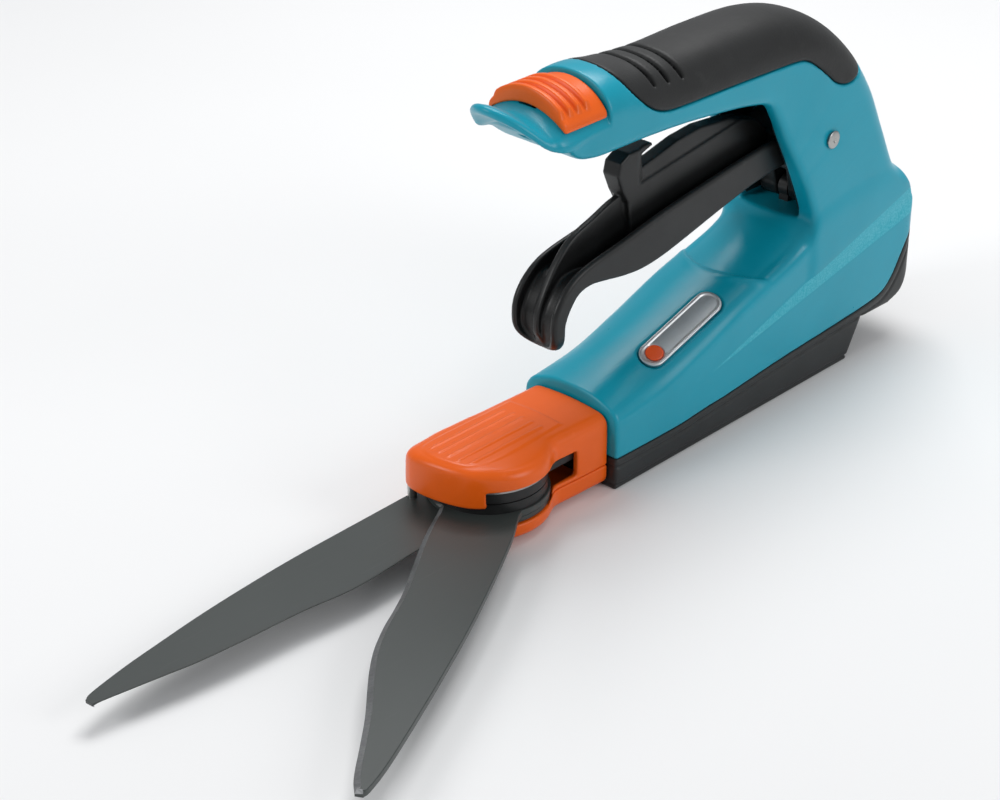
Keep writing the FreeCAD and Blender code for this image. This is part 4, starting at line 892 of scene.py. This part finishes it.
def blade_piece(name, outer, inner, z0, z1, deg, edge_on_top, body, node, hub_r, hole):
    """Plate from its outline: hub disc, fine arris all round, ground bevel along the cutting edge."""
    O, I = curve(outer, 8), curve(inner, 8)
    # hub arc joins the two runs round the back
    a0 = math.atan2(inner[-1][1], inner[-1][0])
    a1 = math.atan2(outer[0][1], outer[0][0])
    if outer[0][1] > 0:
        a0, a1 = a0, a1 - 2 * math.pi
    else:
        a1 = a1 + 2 * math.pi
    hub = [(hub_r * math.cos(a0 + (a1 - a0) * t), hub_r * math.sin(a0 + (a1 - a0) * t)) for t in np.linspace(0.02, .98, 56)]
    P = np.array(O + I + hub)
    cut = np.array([0.0] * len(O) + [1.0] * len(I) + [0.0] * len(hub))
    n = len(P)
    area = sum(P[i][0] * P[(i + 1) % n][1] - P[(i + 1) % n][0] * P[i][1] for i in range(n))
    if area < 0:
        P, cut = P[::-1], cut[::-1]
    d = np.roll(P, -1, 0) - np.roll(P, 1, 0)
    d /= np.maximum(np.linalg.norm(d, axis=1), 1e-9)[:, None]
    N = np.stack([-d[:, 1], d[:, 0]], 1)            # inward
    for _ in range(6):
        cut = (np.roll(cut, 1) + 2 * cut + np.roll(cut, -1)) / 4
    wide = .22 + 1.7 * cut
    deep = .18 + (.82 * (z1 - z0) - .18) * cut
    fine = .16
    if edge_on_top:
        layers = [(P + N * wide[:, None], np.full(n, z0)), (P + N * .02, z0 + deep), (P, np.full(n, z1 - .12)), (P + N * fine, np.full(n, z1))]
    else:
        layers = [(P + N * fine, np.full(n, z0)), (P, np.full(n, z0 + .12)), (P + N * .02, z1 - deep), (P + N * wide[:, None], np.full(n, z1))]
    bm = bmesh.new()
    c, s = math.cos(math.radians(deg)), math.sin(math.radians(deg))

    def world(u, v, z):
        return (((c * u - s * v) + PIV + FOOT_MID) / 1000, (s * u + c * v) / 1000, z / 1000)

    L = [[bm.verts.new(world(p[0], p[1], z)) for p, z in zip(pts, zz)] for pts, zz in layers]
    bevel = 0 if edge_on_top else 2
    for q, (A, B) in enumerate(zip(L[:-1], L[1:])):
        for i in range(n):
            j = (i + 1) % n
            fc = bm.faces.new((A[i], A[j], B[j], B[i]))
            if q == bevel and cut[i] > .5:
                fc.material_index = 1
    # pivot hole ring closes the two flats
    m = 64
    H0 = [bm.verts.new(world(hole * math.cos(2 * math.pi * k / m), hole * math.sin(2 * math.pi * k / m), z0)) for k in range(m)]
    H1 = [bm.verts.new(world(hole * math.cos(2 * math.pi * k / m), hole * math.sin(2 * math.pi * k / m), z1)) for k in range(m)]
    for k in range(m):
        j = (k + 1) % m
        bm.faces.new((H0[j], H0[k], H1[k], H1[j]))
    for ring, hole_ring in ((L[0], H0), (L[-1], H1)):
        e = [bm.edges.get((ring[i], ring[(i + 1) % n])) for i in range(n)] + [bm.edges.get((hole_ring[k], hole_ring[(k + 1) % m])) for k in range(m)]
        bmesh.ops.triangle_fill(bm, use_beauty=True, use_dissolve=False, edges=e)
    bmesh.ops.recalc_face_normals(bm, faces=bm.faces)
    me = bpy.data.meshes.new(name)
    bm.to_mesh(me)
    bm.free()
    o = bpy.data.objects.new(name, me)
    bpy.context.scene.collection.objects.link(o)
    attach(o, body)
    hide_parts(node)
    o.data.materials.append(MAT["blade_steel"])
    o.data.materials.append(MAT["ground_edge"])
    return o


blade_piece("fixed_blade_plate", FIX_O, FIX_I, 7.2, 9.0, 0, True, "head", "fixed_blade", 19.5, 5.05)
blade_piece("moving_blade_plate", MOV_O, MOV_I, 9.15, 11.2, 31, False, "blade", "moving_blade", 19.7, 5.1)

# ------------------------------------------------------------------ floor, lights, camera
bm = bmesh.new()
bmesh.ops.create_grid(bm, x_segments=4, y_segments=4, size=6)
me = bpy.data.meshes.new("floor")
bm.to_mesh(me)
bm.free()
floor = bpy.data.objects.new("floor", me)
bpy.context.scene.collection.objects.link(floor)
n = Nodes("floor_paper")
fc = n.ramp(n.noise(3, 2, .5), [(.2, (.80, .80, .80)), (.8, (.84, .84, .84))])
floor.data.materials.append(n.out(fc))
n.bsdf.inputs["Roughness"].default_value = .9

w = bpy.context.scene.world or bpy.data.worlds.new("world")
bpy.context.scene.world = w
w.use_nodes = True
w.node_tree.nodes["Background"].inputs[0].default_value = (.95, .97, 1.0, 1)
w.node_tree.nodes["Background"].inputs[1].default_value = .42


def area(name, pos, target, size, power, sy=None):
    L = bpy.data.lights.new(name, "AREA")
    L.shape = "RECTANGLE"
    L.size, L.size_y = size, sy or size
    L.energy = power
    o = bpy.data.objects.new(name, L)
    o.location = pos
    o.rotation_euler = (Vector(target) - Vector(pos)).to_track_quat("-Z", "Y").to_euler()
    bpy.context.scene.collection.objects.link(o)


area("key", (-.35, -.25, 1.0), (0, 0, .05), .7, 8.0, .5)
area("front", (.95, -.35, .6), (.05, 0, .05), .4, 3.2, .4)
area("side", (-.25, 1.0, .55), (-.05, 0, .06), .45, 3.4, .5)

cam = bpy.data.cameras.new("camera")
cam.lens, cam.sensor_width = 85.0, 36.0
cam.clip_start = .01
co = bpy.data.objects.new("camera", cam)
right, up, back = Vector((-.688355, .725374, 0)), Vector((-.351668, -.333721, .874621)), Vector((.634427, .602049, .484810))
M = Matrix((right, up, back)).transposed().to_4x4()
M.translation = Vector((.55908, .44039, .3935))
co.matrix_world = M
bpy.context.scene.collection.objects.link(co)
bpy.context.scene.camera = co
bpy.context.scene.view_settings.view_transform = "Standard"

bpy.context.view_layer.update()
